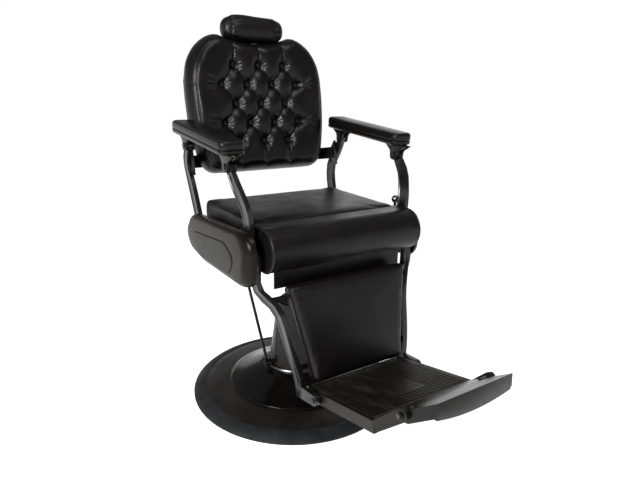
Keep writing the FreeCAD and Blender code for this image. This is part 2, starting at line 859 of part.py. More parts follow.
def make_side_castings():
    wires = []
    depth = panel_outer - panel_inner
    for place, nose, edge in zip(casting_depth_shares, casting_nose_shares, casting_edge_shares):
        wires.append(casting_wire(panel_inner + place * depth, nose * panel_nose_reach,
                                  edge * panel_edge_round))
    body = ruled(wires)
    hollow = Part.Face(panel_wire(panel_shares, panel_round_shares, panel_inner - overrun, -panel_wall * 4))
    hollow = hollow.extrude(Vector(panel_outer - panel_wall - panel_inner + overrun, 0, 0))
    body = body.cut(hollow)
    recess = Part.Face(panel_wire(inset_shares, inset_round_shares, panel_outer - inset_depth, 0))
    body = body.cut(recess.extrude(Vector(inset_depth + overrun, 0, 0)))
    pin_places = [(back_pivot_y, back_pivot_z), (front_pivot_y, front_pivot_z), (leg_pivot_y, leg_pivot_z)]
    bosses = []
    holes = []
    for y, z in pin_places:
        bosses.append(cross_rod(panel_inner - panel_boss_reach, panel_outer - panel_wall, y, z,
                                panel_boss_radius))
        holes.append(cross_rod(panel_inner - panel_boss_reach - overrun, panel_outer - panel_wall, y, z,
                               link_pin_radius))
    casting = fuse_all([body] + bosses).cut(holes)
    stud_hole = cross_rod(panel_inner, panel_outer + inset_rise + overrun, release_y, release_z,
                          release_shaft_radius + running_gap)
    save_pair("side_casting", casting, stud_hole)
    low = panel_outer - inset_depth
    inset_wires = []
    for rise, inset in ((0, 0), (inset_depth, 0), (inset_depth + inset_rise * 0.7, inset_rise * 0.4),
                        (inset_depth + inset_rise, inset_rise * 1.6)):
        inset_wires.append(panel_wire(inset_shares, inset_round_shares, low + rise, -inset_gap - inset))
    save_pair("casting_inset", ruled(inset_wires), stud_hole)
    pins = []
    tip = panel_outer - panel_wall
    for y, z in pin_places[:2]:
        pins.append(cross_rod(frame_half_width - side_plate_wall - bead_radius, tip, y, z, link_pin_radius))
    leg_inner = leg_arm_x - leg_arm_thickness / 2
    pins.append(cross_rod(leg_inner - face_gap, tip, leg_pivot_y, leg_pivot_z, link_pin_radius))
    pins = [side for pin in pins for side in both_sides(pin).values()]
    save("linkage_pins", Part.makeCompound(pins))


# Arm posts: flat cast bars with raised edge ribs, bowed in side view and leaning outwards
def bar_section(centre, tangent, width, thickness, rib, recess):
    """A bar's section: flat faces sunk between two edge ribs."""
    along = Vector(0, tangent.y, tangent.z)
    along.normalize()
    across = along.cross(x_axis)
    half = width / 2
    thick = thickness / 2
    inner = half - rib
    step = rib * 0.5
    profile = [
        (-half, -thick), (-inner - step, -thick), (-inner, -thick + recess), (inner, -thick + recess),
        (inner + step, -thick), (half, -thick), (half, thick), (inner + step, thick),
        (inner, thick - recess), (-inner, thick - recess), (-inner - step, thick), (-half, thick),
    ]
    return [centre + across * u + x_axis * v for u, v in profile]


def bar_loft(points, widths, thicknesses, station_count):
    """A bar along a smooth line through points, its sections square to the line and sized by tables."""
    line = Part.BSplineCurve()
    line.interpolate(points)
    span = line.LastParameter - line.FirstParameter
    rings = []
    for index in range(station_count):
        place = line.FirstParameter + span * index / (station_count - 1)
        centre = line.value(place)
        tangent = line.tangent(place)[0]
        height = (centre.z - points[0].z) / (points[-1].z - points[0].z)
        width = table_value(widths, height)
        thickness = table_value(thicknesses, height)
        rings.append(bar_section(centre, tangent, width, thickness, width * bar_rib_share, post_recess))
    return facet_net(rings)


post_rise_shares = (0.0, 0.14, 0.32, 0.5, 0.66, 0.8, 0.92, 1.0)
front_bow_shares = (0.0, 0.37, 0.79, 1.0, 0.91, 0.66, 0.27, 0.0)
rear_bow_shares = (0.0, 0.3, 0.72, 0.96, 1.0, 0.7, 0.3, 0.0)
post_lean_shares = (0.0, 0.0, 0.0, 0.14, 0.42, 0.85, 1.0, 1.0)
post_width_shares = (0.8, 0.95, 1.0, 1.0, 1.0, 0.95, 0.8, 0.62)


def post_line(foot, head, bow, bow_shares):
    """Points of an arm post's centre line from its seat pivot to its clevis pin."""
    points = []
    for index, rise in enumerate(post_rise_shares):
        y = foot[0] + (head[0] - foot[0]) * rise + bow * bow_shares[index]
        z = foot[1] + (head[1] - foot[1]) * rise
        points.append(Vector(post_foot_x + (post_head_x - post_foot_x) * post_lean_shares[index], y, z))
    return points


def make_post(foot, head, bow, bow_shares):
    widths = [(rise, post_width * share) for rise, share in zip(post_rise_shares, post_width_shares)]
    thicknesses = [(rise, post_thickness) for rise in (0, 1)]
    half = post_thickness / 2
    bar = bar_loft(post_line(foot, head, bow, bow_shares), widths, thicknesses, post_station_count)
    eye = cross_rod(post_head_x - half, post_head_x + half, head[0], head[1], post_eye_radius)
    boss = cross_rod(post_foot_x - half, post_foot_x + half, foot[0], foot[1], post_boss_radius)
    return bar.multiFuse([eye, boss])


def post_holes(foot, head):
    """Pin holes of a post, with running clearance at both ends."""
    half = post_thickness / 2 + overrun
    return [cross_rod(post_head_x - half, post_head_x + half, head[0], head[1],
                      arm_pin_radius + running_gap),
            cross_rod(post_foot_x - half, post_foot_x + half, foot[0], foot[1],
                      link_pin_radius + running_gap)]


def lean_back(shape):
    """Move a shape from the backrest's own upright frame to its leaning place."""
    shape.rotate(origin, x_axis, -back_lean_angle)
    shape.translate(Vector(0, back_foot_y, back_foot_z))
    return shape


def make_bracket():
    """The arm from a rear post, in and back to the rear of the back board."""
    rear = back_rear + back_board_thickness + back_cover_thickness + face_gap
    post_x = post_foot_x + (post_head_x - post_foot_x) * 0.42
    outer = post_x + post_thickness / 2 - post_recess * 2
    inner = outer - bracket_wall
    top = bracket_foot + bracket_height
    front = bracket_post_y
    knee = back_half_width * 0.975
    points = [(outer, front), (outer, front + post_width * 0.3), (knee + bracket_wall, rear),
              (knee, rear + bracket_wall), (bracket_reach_in, rear + bracket_wall), (bracket_reach_in, rear),
              (knee - bracket_wall * 0.7, rear), (inner, front + post_width * 0.3), (inner, front)]
    arm = plan_slab(points, 0, bracket_foot, top)
    middle = (bracket_foot + top) / 2
    flare = bracket_flare / 2
    gusset = side_slab([(front, middle - flare), (front, middle + flare),
                        (front + post_width * 0.3, top + flare / 4),
                        (front + post_width * 0.55, top), (front + post_width * 0.55, bracket_foot),
                        (front + post_width * 0.3, bracket_foot - flare / 4)], 0, inner, outer)
    return lean_back(arm.fuse(gusset))


def make_posts():
    front_foot = (front_pivot_y, front_pivot_z)
    front_head = (front_pin_y, front_pin_z)
    front = make_post(front_foot, front_head, -front_post_bow, front_bow_shares)
    save_pair("front_post", front.removeSplitter().cut(post_holes(front_foot, front_head)))
    rear_foot = (back_pivot_y, back_pivot_z)
    rear_head = (rear_pin_y, rear_pin_z)
    rear = make_post(rear_foot, rear_head, rear_post_bow, rear_bow_shares)
    rear = rear.fuse(make_bracket()).removeSplitter()
    save_pair("rear_post", rear.cut(post_holes(rear_foot, rear_head)))


# Armrests: a cast tray with two clevises, and a firm pad. Built level, then tipped to the line of its pins
def arm_plan(inset, z):
    """The armrest's long rounded plan, shrunk evenly, at one height over the pin line."""
    length = math.hypot(front_pin_y - rear_pin_y, front_pin_z - rear_pin_z)
    rear = arm_rear_reach - inset
    front = -length - arm_front_reach + inset
    half = arm_half_width - inset
    points = [Vector(-half, front, z), Vector(half, front, z), Vector(half, rear, z), Vector(-half, rear, z)]
    return outline_wire(points, arm_corner - inset)


def place_arm(shape):
    """Move a level armrest shape to the chair: its rear pin at the origin goes to the rear post's head."""
    tip = math.degrees(math.atan2(rear_pin_z - front_pin_z, rear_pin_y - front_pin_y))
    shape.rotate(origin, x_axis, tip)
    shape.translate(Vector(post_head_x, rear_pin_y, rear_pin_z))
    return shape


def clevis_ears(pin_y):
    """Two flared ears that hang from the tray to a pin."""
    inner = post_thickness / 2 + ear_gap
    neck = ear_neck
    top = arm_frame_bottom + seam_lap
    points = [(pin_y - ear_half_length, top), (pin_y - neck, top * 0.35), (pin_y - neck, -neck),
              (pin_y + neck, -neck), (pin_y + neck, top * 0.35), (pin_y + ear_half_length, top)]
    radii = [0, neck * 1.2, neck * 0.95, neck * 0.95, neck * 1.2, 0]
    ears = []
    for side in (-1, 1):
        ear = side_slab(points, radii, side * inner, side * (inner + ear_wall))
        hole = cross_rod(side * (inner - overrun), side * (inner + ear_wall + overrun), pin_y, 0,
                         arm_pin_radius)
        ears.append(ear.cut(hole))
    return ears


def make_armrests():
    length = math.hypot(front_pin_y - rear_pin_y, front_pin_z - rear_pin_z)
    frame_top_z = arm_frame_bottom + arm_frame_height
    floor_z = frame_top_z - arm_frame_height * 0.4
    levels = ((arm_frame_bottom, 0.55), (arm_frame_bottom + arm_frame_height * 0.2, 0.2),
              (arm_frame_bottom + arm_frame_height * 0.5, 0), (frame_top_z, 0))
    lip = ruled([arm_plan(share * arm_frame_height, z) for z, share in levels])
    tray = Part.Face(arm_plan(arm_lip, floor_z)).extrude(Vector(0, 0, overrun * 2))
    frame = fuse_all([lip.cut(tray)] + clevis_ears(0) + clevis_ears(-length))
    save_pair("arm_frame", place_arm(frame))
    stem = Part.Face(arm_plan(arm_lip + face_gap, floor_z + face_gap)).extrude(
        Vector(0, 0, frame_top_z + arm_lip - floor_z))
    pad_foot = frame_top_z + arm_lip * 0.7
    pad_top = frame_top_z + arm_pad_height
    levels = rim_levels(arm_lip, arm_pad_round, pad_foot, pad_top)
    pad = ruled([arm_plan(inset, z) for z, inset in levels])
    save_pair("arm_pad", place_arm(fuse_all([stem, pad])))
    reach = post_thickness / 2 + ear_gap + ear_wall
    pins = []
    for pin_y in (0, -length):
        shank = headed_pin(-reach, reach, pin_y, 0, arm_pin_radius, arm_pin_head, arm_pin_head_height)
        tail = headed_pin(reach, -reach, pin_y, 0, arm_pin_radius, arm_pin_head, arm_pin_head_height)
        pins.append(fuse_all([shank, tail]))
    save_pair("arm_pins", place_arm(Part.makeCompound(pins)))


# Backrest: a tufted cushion on a board, with a rear cover, in its own upright frame
back_rise_shares = (0.0, 0.025, 0.1)
back_top_shares = (0.9, 0.955, 0.985, 1.0)
back_width_table_shares = ((0.0, 0.72), (0.025, 0.82), (0.1, 0.905), (0.26, 0.965), (0.4, 0.993),
                           (0.55, 1.0),
                           (0.68, 0.995), (0.8, 0.95), (0.9, 0.84), (0.955, 0.73), (0.985, 0.64),
                           (1.0, 0.56))
back_crest_table_shares = ((0.0, 0.35), (0.025, 0.72), (0.1, 0.93), (0.26, 1.0), (0.8, 1.0), (0.9, 0.93),
                           (0.955, 0.8), (0.985, 0.62), (1.0, 0.4))
tuft_row_count = 5
tuft_valley_share = 0.52
tuft_slope_share = 0.2
tuft_column_count = 6
back_side_turn_shares = (0.0, 0.35, 0.7, 1.0)


def tuft_sink(half_column, half_row, last_half_row):
    """How deep the cover is pulled in, as a share, at quarter steps of the button lattice."""
    inside = max(0, min(half_row, last_half_row))
    over = abs(half_row - inside)
    if inside % 2 == 0:
        button_here = (half_column + inside) % 4 == 0
        slope_here = half_column % 2 == 1
        sink = 1.0 if button_here else (tuft_slope_share if slope_here else 0.0)
        if over:
            sink = tuft_valley_share if button_here else 0.0
        return sink
    return tuft_valley_share if half_column % 2 == 1 else tuft_slope_share


def back_section(s, half_row, last_half_row):
    """Points round the cushion at one height: tufted front, rolled bolsters and a flat rear."""
    place = s / back_length
    half = back_half_width * table_value(back_width_table_shares, place)
    crest = back_crest * table_value(back_crest_table_shares, place)
    squeeze = min(1.0, half / (back_half_width * 0.86))
    column = tuft_pitch / 2 * squeeze
    front = []
    for index in range(-tuft_column_count, tuft_column_count + 1):
        sink = tuft_depth * tuft_sink(abs(index), half_row, last_half_row) * min(1.0, crest / back_crest)
        edge_ease = 0.25 if abs(index) == tuft_column_count and half_row % 2 == 0 else 1.0
        if (abs(index) + half_row) % 4 == 0:
            edge_ease = 1.0
        front.append(Vector(index * column, -crest + sink * edge_ease, s))
    bolster = tuft_column_count * column + (half - tuft_column_count * column) * 0.42
    drop = min(crest * 0.9, back_side_round)
    side = []
    for turn_share in back_side_turn_shares:
        turn = turn_share * math.pi / 2
        side.append(Vector(bolster + (half - bolster) * math.sin(turn),
                           -crest + drop * (1 - math.cos(turn)), s))
    side.append(Vector(half - back_board_inset / 2, back_rear, s))
    mirrored = [Vector(-point.x, point.y, point.z) for point in side[::-1]]
    return mirrored + front + side


def back_outline(inset):
    """The backrest's front view outline, shrunk at its sides, as points from its width table."""
    right = []
    for place, width in back_width_table_shares:
        s = inset + (back_length - 2 * inset) * place
        right.append((back_half_width * width - inset, s))
    return right + [(-x, s) for x, s in right[::-1]]


def top_scoop(reach):
    """The shallow round notch in the top edge, behind the headrest."""
    radius = (scoop_half_width ** 2 + scoop_depth ** 2) / (2 * scoop_depth)
    centre_s = back_length - scoop_depth + radius
    return rod(Vector(0, -reach, centre_s), Vector(0, reach, centre_s), radius)


def tuft_places():
    """Front view places of the buttons, in alternate rows of three and four."""
    places = []
    for row in range(tuft_row_count):
        s = tuft_first_row + row * tuft_row_pitch
        wide = row % 2
        columns = (-3, -1, 1, 3) if wide else (-2, 0, 2)
        places += [(column * tuft_pitch, s) for column in columns]
    return places


def make_backrest():
    reach = back_crest * 3
    last_half_row = (tuft_row_count - 1) * 2
    stations = [(share * back_length, -1) for share in back_rise_shares]
    for half_row in range(last_half_row + 1):
        stations.append((tuft_first_row + half_row * tuft_row_pitch / 2, half_row))
    stations += [(share * back_length, last_half_row + 1) for share in back_top_shares]
    cushion = facet_net([back_section(s, half_row, last_half_row) for s, half_row in stations])
    cushion = cushion.cut(top_scoop(reach))
    save("back_cushion", lean_back(cushion))
    buttons = []
    lift = tuft_depth * 0.86
    for x, s in tuft_places():
        seat = Vector(x, -back_crest + lift, s)
        buttons.append(stud(seat, -y_axis, tuft_button_radius, tuft_button_height, button_sides))
    save("back_buttons", lean_back(Part.makeCompound(buttons)))
    board_rear = back_rear + back_board_thickness
    cover_rear = board_rear + back_cover_thickness
    scoop = top_scoop(reach)
    board = front_slab(back_outline(back_board_inset), 0, back_rear + face_gap, board_rear)
    save("back_board", lean_back(board.cut(scoop)))
    cover = front_slab(back_outline(back_board_inset * 0.6), 0, board_rear, cover_rear)
    cover = cover.cut(scoop)
    save("back_cover", lean_back(cover))
    bolts = []
    rear = cover_rear + face_gap + bracket_wall
    for side in (-1, 1):
        for along in (0.28, 0.72):
            x = side * (bracket_reach_in + back_bolt_radius * 2 + (along - 0.28) * bracket_height)
            seat = Vector(x, rear, bracket_foot + bracket_height / 2)
            bolts.append(stud(seat, y_axis, back_bolt_radius, back_bolt_height, pin_head_sides))
    save("back_bolts", lean_back(Part.makeCompound(bolts)))


# Headrest: a pillow on a plate, hinged to a flat bar that slides in a socket on the rear cover
def pillow_section(x, half_height, half_depth):
    """A pillow's soft square section at one place across, as a closed run of short straight lines."""
    points = []
    for index in range(pillow_side_count):
        turn = 2 * math.pi * index / pillow_side_count
        swell = (abs(math.cos(turn)) ** pillow_swell_share + abs(math.sin(turn)) ** pillow_swell_share)
        reach = swell ** (-1 / pillow_swell_share)
        points.append(Vector(x, headrest_y + half_depth * reach * math.cos(turn),
                             headrest_s + half_height * reach * math.sin(turn)))
    return points


pillow_side_count = 16
pillow_swell_share = 2.6
pillow_end_shares = ((1.0, 0.4), (0.97, 0.6), (0.9, 0.78), (0.78, 0.9), (0.5, 0.98), (0.15, 1.0))


def make_headrest():
    rings = []
    for side in (1, -1):
        part = []
        for place, size in pillow_end_shares:
            x = side * place * headrest_half_width
            part.append(pillow_section(x, headrest_height / 2 * size, headrest_depth / 2 * size))
        rings += part if side == 1 else part[::-1]
    pillow = facet_net(rings)
    plate_front = headrest_y + headrest_depth / 2 + face_gap
    plate_rear = plate_front + headrest_plate_thickness
    save("headrest_pillow", lean_back(pillow))
    low = headrest_s - headrest_plate_height / 2
    high = headrest_s + headrest_plate_height / 2
    half = headrest_plate_half_width
    plate = front_slab([(-half, low), (half, low), (half, high), (-half, high)],
                       headrest_plate_height * smooth_share,
                       plate_front, plate_rear)
    pin_y = plate_rear + knuckle_radius + swing_gap
    ears = []
    for side in (-1, 1):
        inner = side * (knuckle_half_width + face_gap)
        outer = side * (knuckle_half_width + face_gap + knuckle_ear_wall)
        ear = side_slab([(plate_rear - seam_lap, headrest_s - knuckle_radius),
                         (pin_y + knuckle_radius, headrest_s - knuckle_radius),
                         (pin_y + knuckle_radius, headrest_s + knuckle_radius),
                         (plate_rear - seam_lap, headrest_s + knuckle_radius)],
                        [0, knuckle_radius * 0.95, knuckle_radius * 0.95, 0], inner, outer)
        ears.append(ear)
    pin_hole = cross_rod(-half, half, pin_y, headrest_s, knuckle_pin_radius + running_gap)
    save("headrest_plate", lean_back(fuse_all([plate] + ears).cut(pin_hole)))
    bar_front = back_rear + back_board_thickness + back_cover_thickness + swing_gap
    bar_rear = bar_front + headrest_bar_thickness
    bar_half = headrest_bar_width / 2
    neck_high = headrest_s - headrest_plate_height / 2 - knuckle_radius * 0.4
    neck_low = neck_high - (pin_y - bar_rear)
    neck_half = knuckle_radius * 0.55
    bar = front_slab([(-bar_half, headrest_bar_foot), (bar_half, headrest_bar_foot),
                      (bar_half, neck_low), (-bar_half, neck_low)],
                     [bead_radius, bead_radius, 0, 0], bar_front, bar_rear)
    neck = side_slab([(bar_front, neck_low - knuckle_radius), (bar_rear, neck_low - knuckle_radius),
                      (pin_y + neck_half, neck_high - knuckle_radius * 0.4), (pin_y + neck_half, headrest_s),
                      (pin_y - neck_half, headrest_s), (pin_y - neck_half, neck_high),
                      (bar_front, neck_low)], 0,
                     -knuckle_half_width, knuckle_half_width)
    knuckle = cross_rod(-knuckle_half_width, knuckle_half_width, pin_y, headrest_s, knuckle_radius)
    pin_end = knuckle_half_width + face_gap + knuckle_ear_wall + face_gap
    pin = cross_rod(-pin_end, pin_end, pin_y, headrest_s, knuckle_pin_radius)
    save("headrest_bar", lean_back(fuse_all([bar, neck, knuckle, pin])))
    socket_front = bar_front - swing_gap
    socket_top = socket_foot + socket_height
    outer = front_slab([(-socket_half_width, socket_foot), (socket_half_width, socket_foot),
                        (socket_half_width, socket_top), (-socket_half_width, socket_top)], bead_radius,
                       socket_front, bar_rear + socket_wall)
    slot = box(-bar_half - running_gap, bar_half + running_gap, bar_front - running_gap,
               bar_rear + running_gap,
               socket_foot - overrun, socket_top + overrun)
    middle = socket_foot + socket_height / 2
    screw = Vector(0, bar_rear, middle)
    thread = rod(screw, screw + y_axis * (socket_wall + overrun), knob_stem_radius)
    save("headrest_socket", lean_back(outer.cut([slot, thread])))
    stem_end = bar_rear + socket_wall + knob_stem
    stem = rod(Vector(0, bar_rear + running_gap, middle), Vector(0, stem_end, middle), knob_stem_radius)
    lobes = [rod(Vector(0, stem_end, middle), Vector(0, stem_end + knob_height, middle), knob_radius * 0.7)]
    for index in range(knob_lobe_count):
        angle = 2 * math.pi * index / knob_lobe_count
        x = knob_radius * 0.62 * math.sin(angle)
        s = middle + knob_radius * 0.62 * math.cos(angle)
        lobes.append(rod(Vector(x, stem_end, s), Vector(x, stem_end + knob_height, s), knob_radius * 0.38))
    save("headrest_knob", lean_back(fuse_all([stem] + lobes)))


# Legrest: two hooked cast arms, joined by bars, with a board and a tapering pad
leg_rise_shares = (0.0, 0.12, 0.215, 0.285, 0.355, 0.47, 0.65, 0.85, 1.0)
leg_run_shares = (0.0, 0.02, 0.05, 0.15, 0.32, 0.48, 0.68, 0.905, 1.0)
leg_tuck_shares = (0.0, 0.0, 0.02, 0.17, 0.42, 0.62, 0.74, 0.885, 1.0)
leg_width_shares = (0.85, 0.8, 0.78, 0.82, 0.9, 0.9, 0.84, 0.8, 0.8)


def leg_line():
    """Points of a leg arm's centre line from its pivot, round the roll and along the pad to its heel."""
    points = []
    for index, drop in enumerate(leg_rise_shares):
        y = leg_pivot_y + (leg_foot_y - leg_pivot_y) * leg_run_shares[index]
        z = leg_pivot_z + (leg_foot_z - leg_pivot_z) * drop
        points.append(Vector(leg_arm_x + (leg_foot_x - leg_arm_x) * leg_tuck_shares[index], y, z))
    return points


def make_legrest():
    half = leg_arm_thickness / 2
    widths = [(drop, leg_arm_top_width * share) for drop, share in zip(leg_rise_shares, leg_width_shares)]
    thicknesses = [(0, leg_arm_thickness), (1, leg_foot_thickness)]
    arm = bar_loft(leg_line(), widths, thicknesses, leg_station_count)
    boss = cross_rod(leg_arm_x - half, leg_arm_x + half, leg_pivot_y, leg_pivot_z, leg_boss_radius)
    foot_in = leg_foot_x - leg_foot_thickness / 2
    foot_out = leg_foot_x + leg_foot_thickness / 2
    eye = foot_eye_radius
    slope = math.atan2(rail_corner_z - foot_pin_z, foot_pin_y - rail_corner_y)
    up = Vector(0, math.sin(slope) * eye, math.cos(slope) * eye)
    along = Vector(0, -math.cos(slope), math.sin(slope))
    pin = Vector(0, foot_pin_y, foot_pin_z)
    nose = pin + along * eye
    heel = Vector(0, leg_foot_y + leg_foot_width * 0.45, leg_foot_z - leg_foot_width)
    rear = Vector(0, leg_foot_y + leg_foot_width * 0.55, leg_foot_z)
    points = [nose + up, nose - up, heel, rear, rear + Vector(0, -leg_foot_width, leg_foot_width * 0.3)]
    foot = side_slab([(p.y, p.z) for p in points], [eye * 0.95, eye * 0.95, eye * 0.7, 0, eye * 0.5],
                     foot_in, foot_out)
    arm = fuse_all([arm, boss, foot])
    holes = [cross_rod(leg_arm_x - half - overrun, leg_arm_x + half + overrun, leg_pivot_y, leg_pivot_z,
                       link_pin_radius + running_gap),
             cross_rod(foot_in - overrun, foot_out + overrun, foot_pin_y, foot_pin_z, foot_pin_radius)]
    save_pair("leg_arm", arm.cut(holes))
    pins = []
    for side in (-1, 1):
        pins.append(headed_pin(side * (rail_outer - rail_thickness - face_gap), side * foot_out, foot_pin_y,
                               foot_pin_z,
                               foot_pin_radius, arm_pin_head, arm_pin_head_height))
    save("foot_pins", Part.makeCompound(pins))
    pad_way = Vector(0, leg_pad_top_y - leg_pad_foot_y, leg_pad_top_z - leg_pad_foot_z)
    length = pad_way.Length
    lean = math.degrees(math.atan2(pad_way.y, pad_way.z))
    def place(shape):
        shape.rotate(origin, x_axis, -lean)
        shape.translate(Vector(0, leg_pad_foot_y, leg_pad_foot_z))
        return shape
    rises = (0.0, 0.02, 0.06, 0.3, 0.7, 0.94, 0.98, 1.0)
    fulls = (0.0, 0.55, 0.85, 1.0, 1.0, 0.85, 0.55, 0.0)
    wires = []
    for rise, full in zip(rises, fulls):
        half_width = leg_pad_foot_half_width + (leg_pad_top_half_width - leg_pad_foot_half_width) * rise
        wires.append(leg_pad_section(rise * length, half_width, full))
    save("leg_cushion", place(Part.makeLoft(wires, True, True)))
    low = bead_radius
    high = length - bead_radius
    low_half = leg_pad_foot_half_width - bead_radius
    high_half = leg_pad_top_half_width - bead_radius
    rear = leg_pad_thickness + face_gap
    board = front_slab([(-low_half, low), (low_half, low), (high_half, high), (-high_half, high)],
                       bead_radius * 2,
                       rear, rear + leg_board_thickness)
    save("leg_board", place(board))
    bars = []
    for share in (0.14, 0.86):
        s = length * share
        bar_y = rear + leg_board_thickness + leg_bar_radius
        centre = place(Part.Vertex(0, bar_y, s)).Point
        bars.append((centre.y, centre.z))
    return bars, list(both_sides(arm).values())


def leg_pad_section(s, half_width, full):
    """The leg pad's level section: a flat back, round front corners and a crowned front."""
    corner = leg_pad_thickness * 0.4
    front = leg_pad_thickness * 0.45 * (1 - full)
    crown = max(leg_pad_crown * full, face_gap)
    rear = leg_pad_thickness
    bow = corner * (1 - math.sqrt(0.5))
    left = Vector(-half_width, front + corner, s)
    left_top = Vector(-half_width + corner, front, s)
    right_top = Vector(half_width - corner, front, s)
    right = Vector(half_width, front + corner, s)
    right_rear = Vector(half_width, rear, s)
    left_rear = Vector(-half_width, rear, s)
    return Part.Wire([
        Part.LineSegment(left_rear, left).toShape(),
        Part.Arc(left, Vector(-half_width + bow, front + bow, s), left_top).toShape(),
        Part.Arc(left_top, Vector(0, front - crown, s), right_top).toShape(),
        Part.Arc(right_top, Vector(half_width - bow, front + bow, s), right).toShape(),
        Part.LineSegment(right, right_rear).toShape(),
        Part.LineSegment(right_rear, left_rear).toShape(),
    ])


def arm_inner_at(z):
    """The inner face of a leg arm at one height."""
    points = leg_line()
    centre = table_value([(leg_pivot_z - point.z, point.x) for point in points], leg_pivot_z - z)
    drop = (leg_pivot_z - z) / (leg_pivot_z - leg_foot_z)
    return centre - (leg_arm_thickness + (leg_foot_thickness - leg_arm_thickness) * drop) / 2


def make_leg_bars(bars, arms):
    rods = []
    for y, z in bars:
        reach = arm_inner_at(z) + post_recess
        rods.append(cross_rod(-reach, reach, y, z, leg_bar_radius).cut(arms))
    save("leg_bars", Part.makeCompound(rods))


# Footplate: two rails that turn up into ears, with a ribbed tray between them
def make_footplate():
    inner = rail_outer - rail_thickness
    slope = Vector(0, rail_corner_y - foot_pin_y, rail_corner_z - foot_pin_z)
    length = slope.Length
    slope.normalize()
    up = Vector(0, slope.z, -slope.y)
    pin = Vector(0, foot_pin_y, foot_pin_z)
    corner = Vector(0, rail_corner_y, rail_corner_z)
    half = rail_height / 2
    rear = pin - slope * foot_eye_radius * 1.3
    fold = corner + slope * rail_thickness * smooth_share
    points = [rear - up * half, fold - up * half, fold + up * half, rear + up * half]
    rail = side_slab([(p.y, p.z) for p in points], [half * 0.9, 0, 0, half * 0.9], inner, rail_outer)
    turn = math.radians(toe_ear_turn)
    toe_flat = Vector(0, rail_corner_y + (toe_pin_y - rail_corner_y) / math.cos(turn), toe_pin_z)
    rise = toe_flat - corner
    rise.normalize()
    ear_up = Vector(0, rise.z, -rise.y)
    eye = toe_eye_radius
    points = [corner - up * half, toe_flat - ear_up * eye + rise * eye, toe_flat + ear_up * eye + rise * eye,
              corner + up * half]
    ear = side_slab([(p.y, p.z) for p in points], [0, eye * 0.95, eye * 0.95, 0], inner, rail_outer)
    middle_x = rail_outer - rail_thickness / 2
    ear.rotate(Vector(middle_x, rail_corner_y, 0), z_axis, -toe_ear_turn)
    boss_x = middle_x - (rail_corner_y - toe_pin_y) * math.tan(turn)
    spread = toe_boss_radius * math.tan(turn)
    boss_inner = boss_x - rail_thickness / 2 / math.cos(turn) - spread
    boss_outer = boss_x + rail_thickness / 2 + spread + seam_lap
    boss = cross_rod(boss_x, boss_outer, toe_pin_y, toe_pin_z, toe_boss_radius)
    rail = fuse_all([rail, ear, boss])
    holes = [cross_rod(inner - overrun, rail_outer + overrun, foot_pin_y, foot_pin_z,
                       foot_pin_radius + running_gap),
             cross_rod(boss_inner - overrun, boss_outer + overrun, toe_pin_y, toe_pin_z, toe_pin_radius)]
    rail = rail.cut(holes)
    rails = list(both_sides(rail).values())
    tray_top = half + tray_rise
    run_from = -tray_rear_reach
    run_to = length - bead_radius
    tray = box(-inner - seam_lap, inner + seam_lap, -run_to, -run_from, tray_top - tray_thickness, tray_top)
    treads = []
    pitch = (run_to - run_from - 2 * tread_margin) / (tread_count - 1)
    bare_from = tread_count * 0.36
    bare_to = tread_count * 0.8
    for index in range(tread_count):
        centre = -run_from - tread_margin - index * pitch
        spans = [(-inner + tread_margin, inner - tread_margin)]
        if bare_from < index < bare_to:
            edge = inner * tread_side_share
            spans = [(-inner + tread_margin, -edge), (edge, inner - tread_margin)]
        for x_from, x_to in spans:
            treads.append(box(x_from, x_to, centre - tread_width / 2, centre + tread_width / 2,
                              tray_top - tread_height, tray_top + tread_height))
    skirt = box(-inner - seam_lap, inner + seam_lap, -run_to, -run_to + tray_thickness, -half * 0.6,
                tray_top - seam_lap)
    plate = fuse_all([tray, skirt] + treads)
    angle = math.degrees(math.atan2(slope.z, -slope.y))
    plate.rotate(origin, x_axis, -angle)
    plate.translate(pin)
    save("footplate", fuse_all([plate] + rails))
    pins = []
    for side in (-1, 1):
        pins.append(headed_pin(side * (boss_inner - rail_thickness), side * boss_outer, toe_pin_y,
                               toe_pin_z, toe_pin_radius, arm_pin_head * 0.8, arm_pin_head_height))
    save("toe_pins", Part.makeCompound(pins))
    return boss_inner


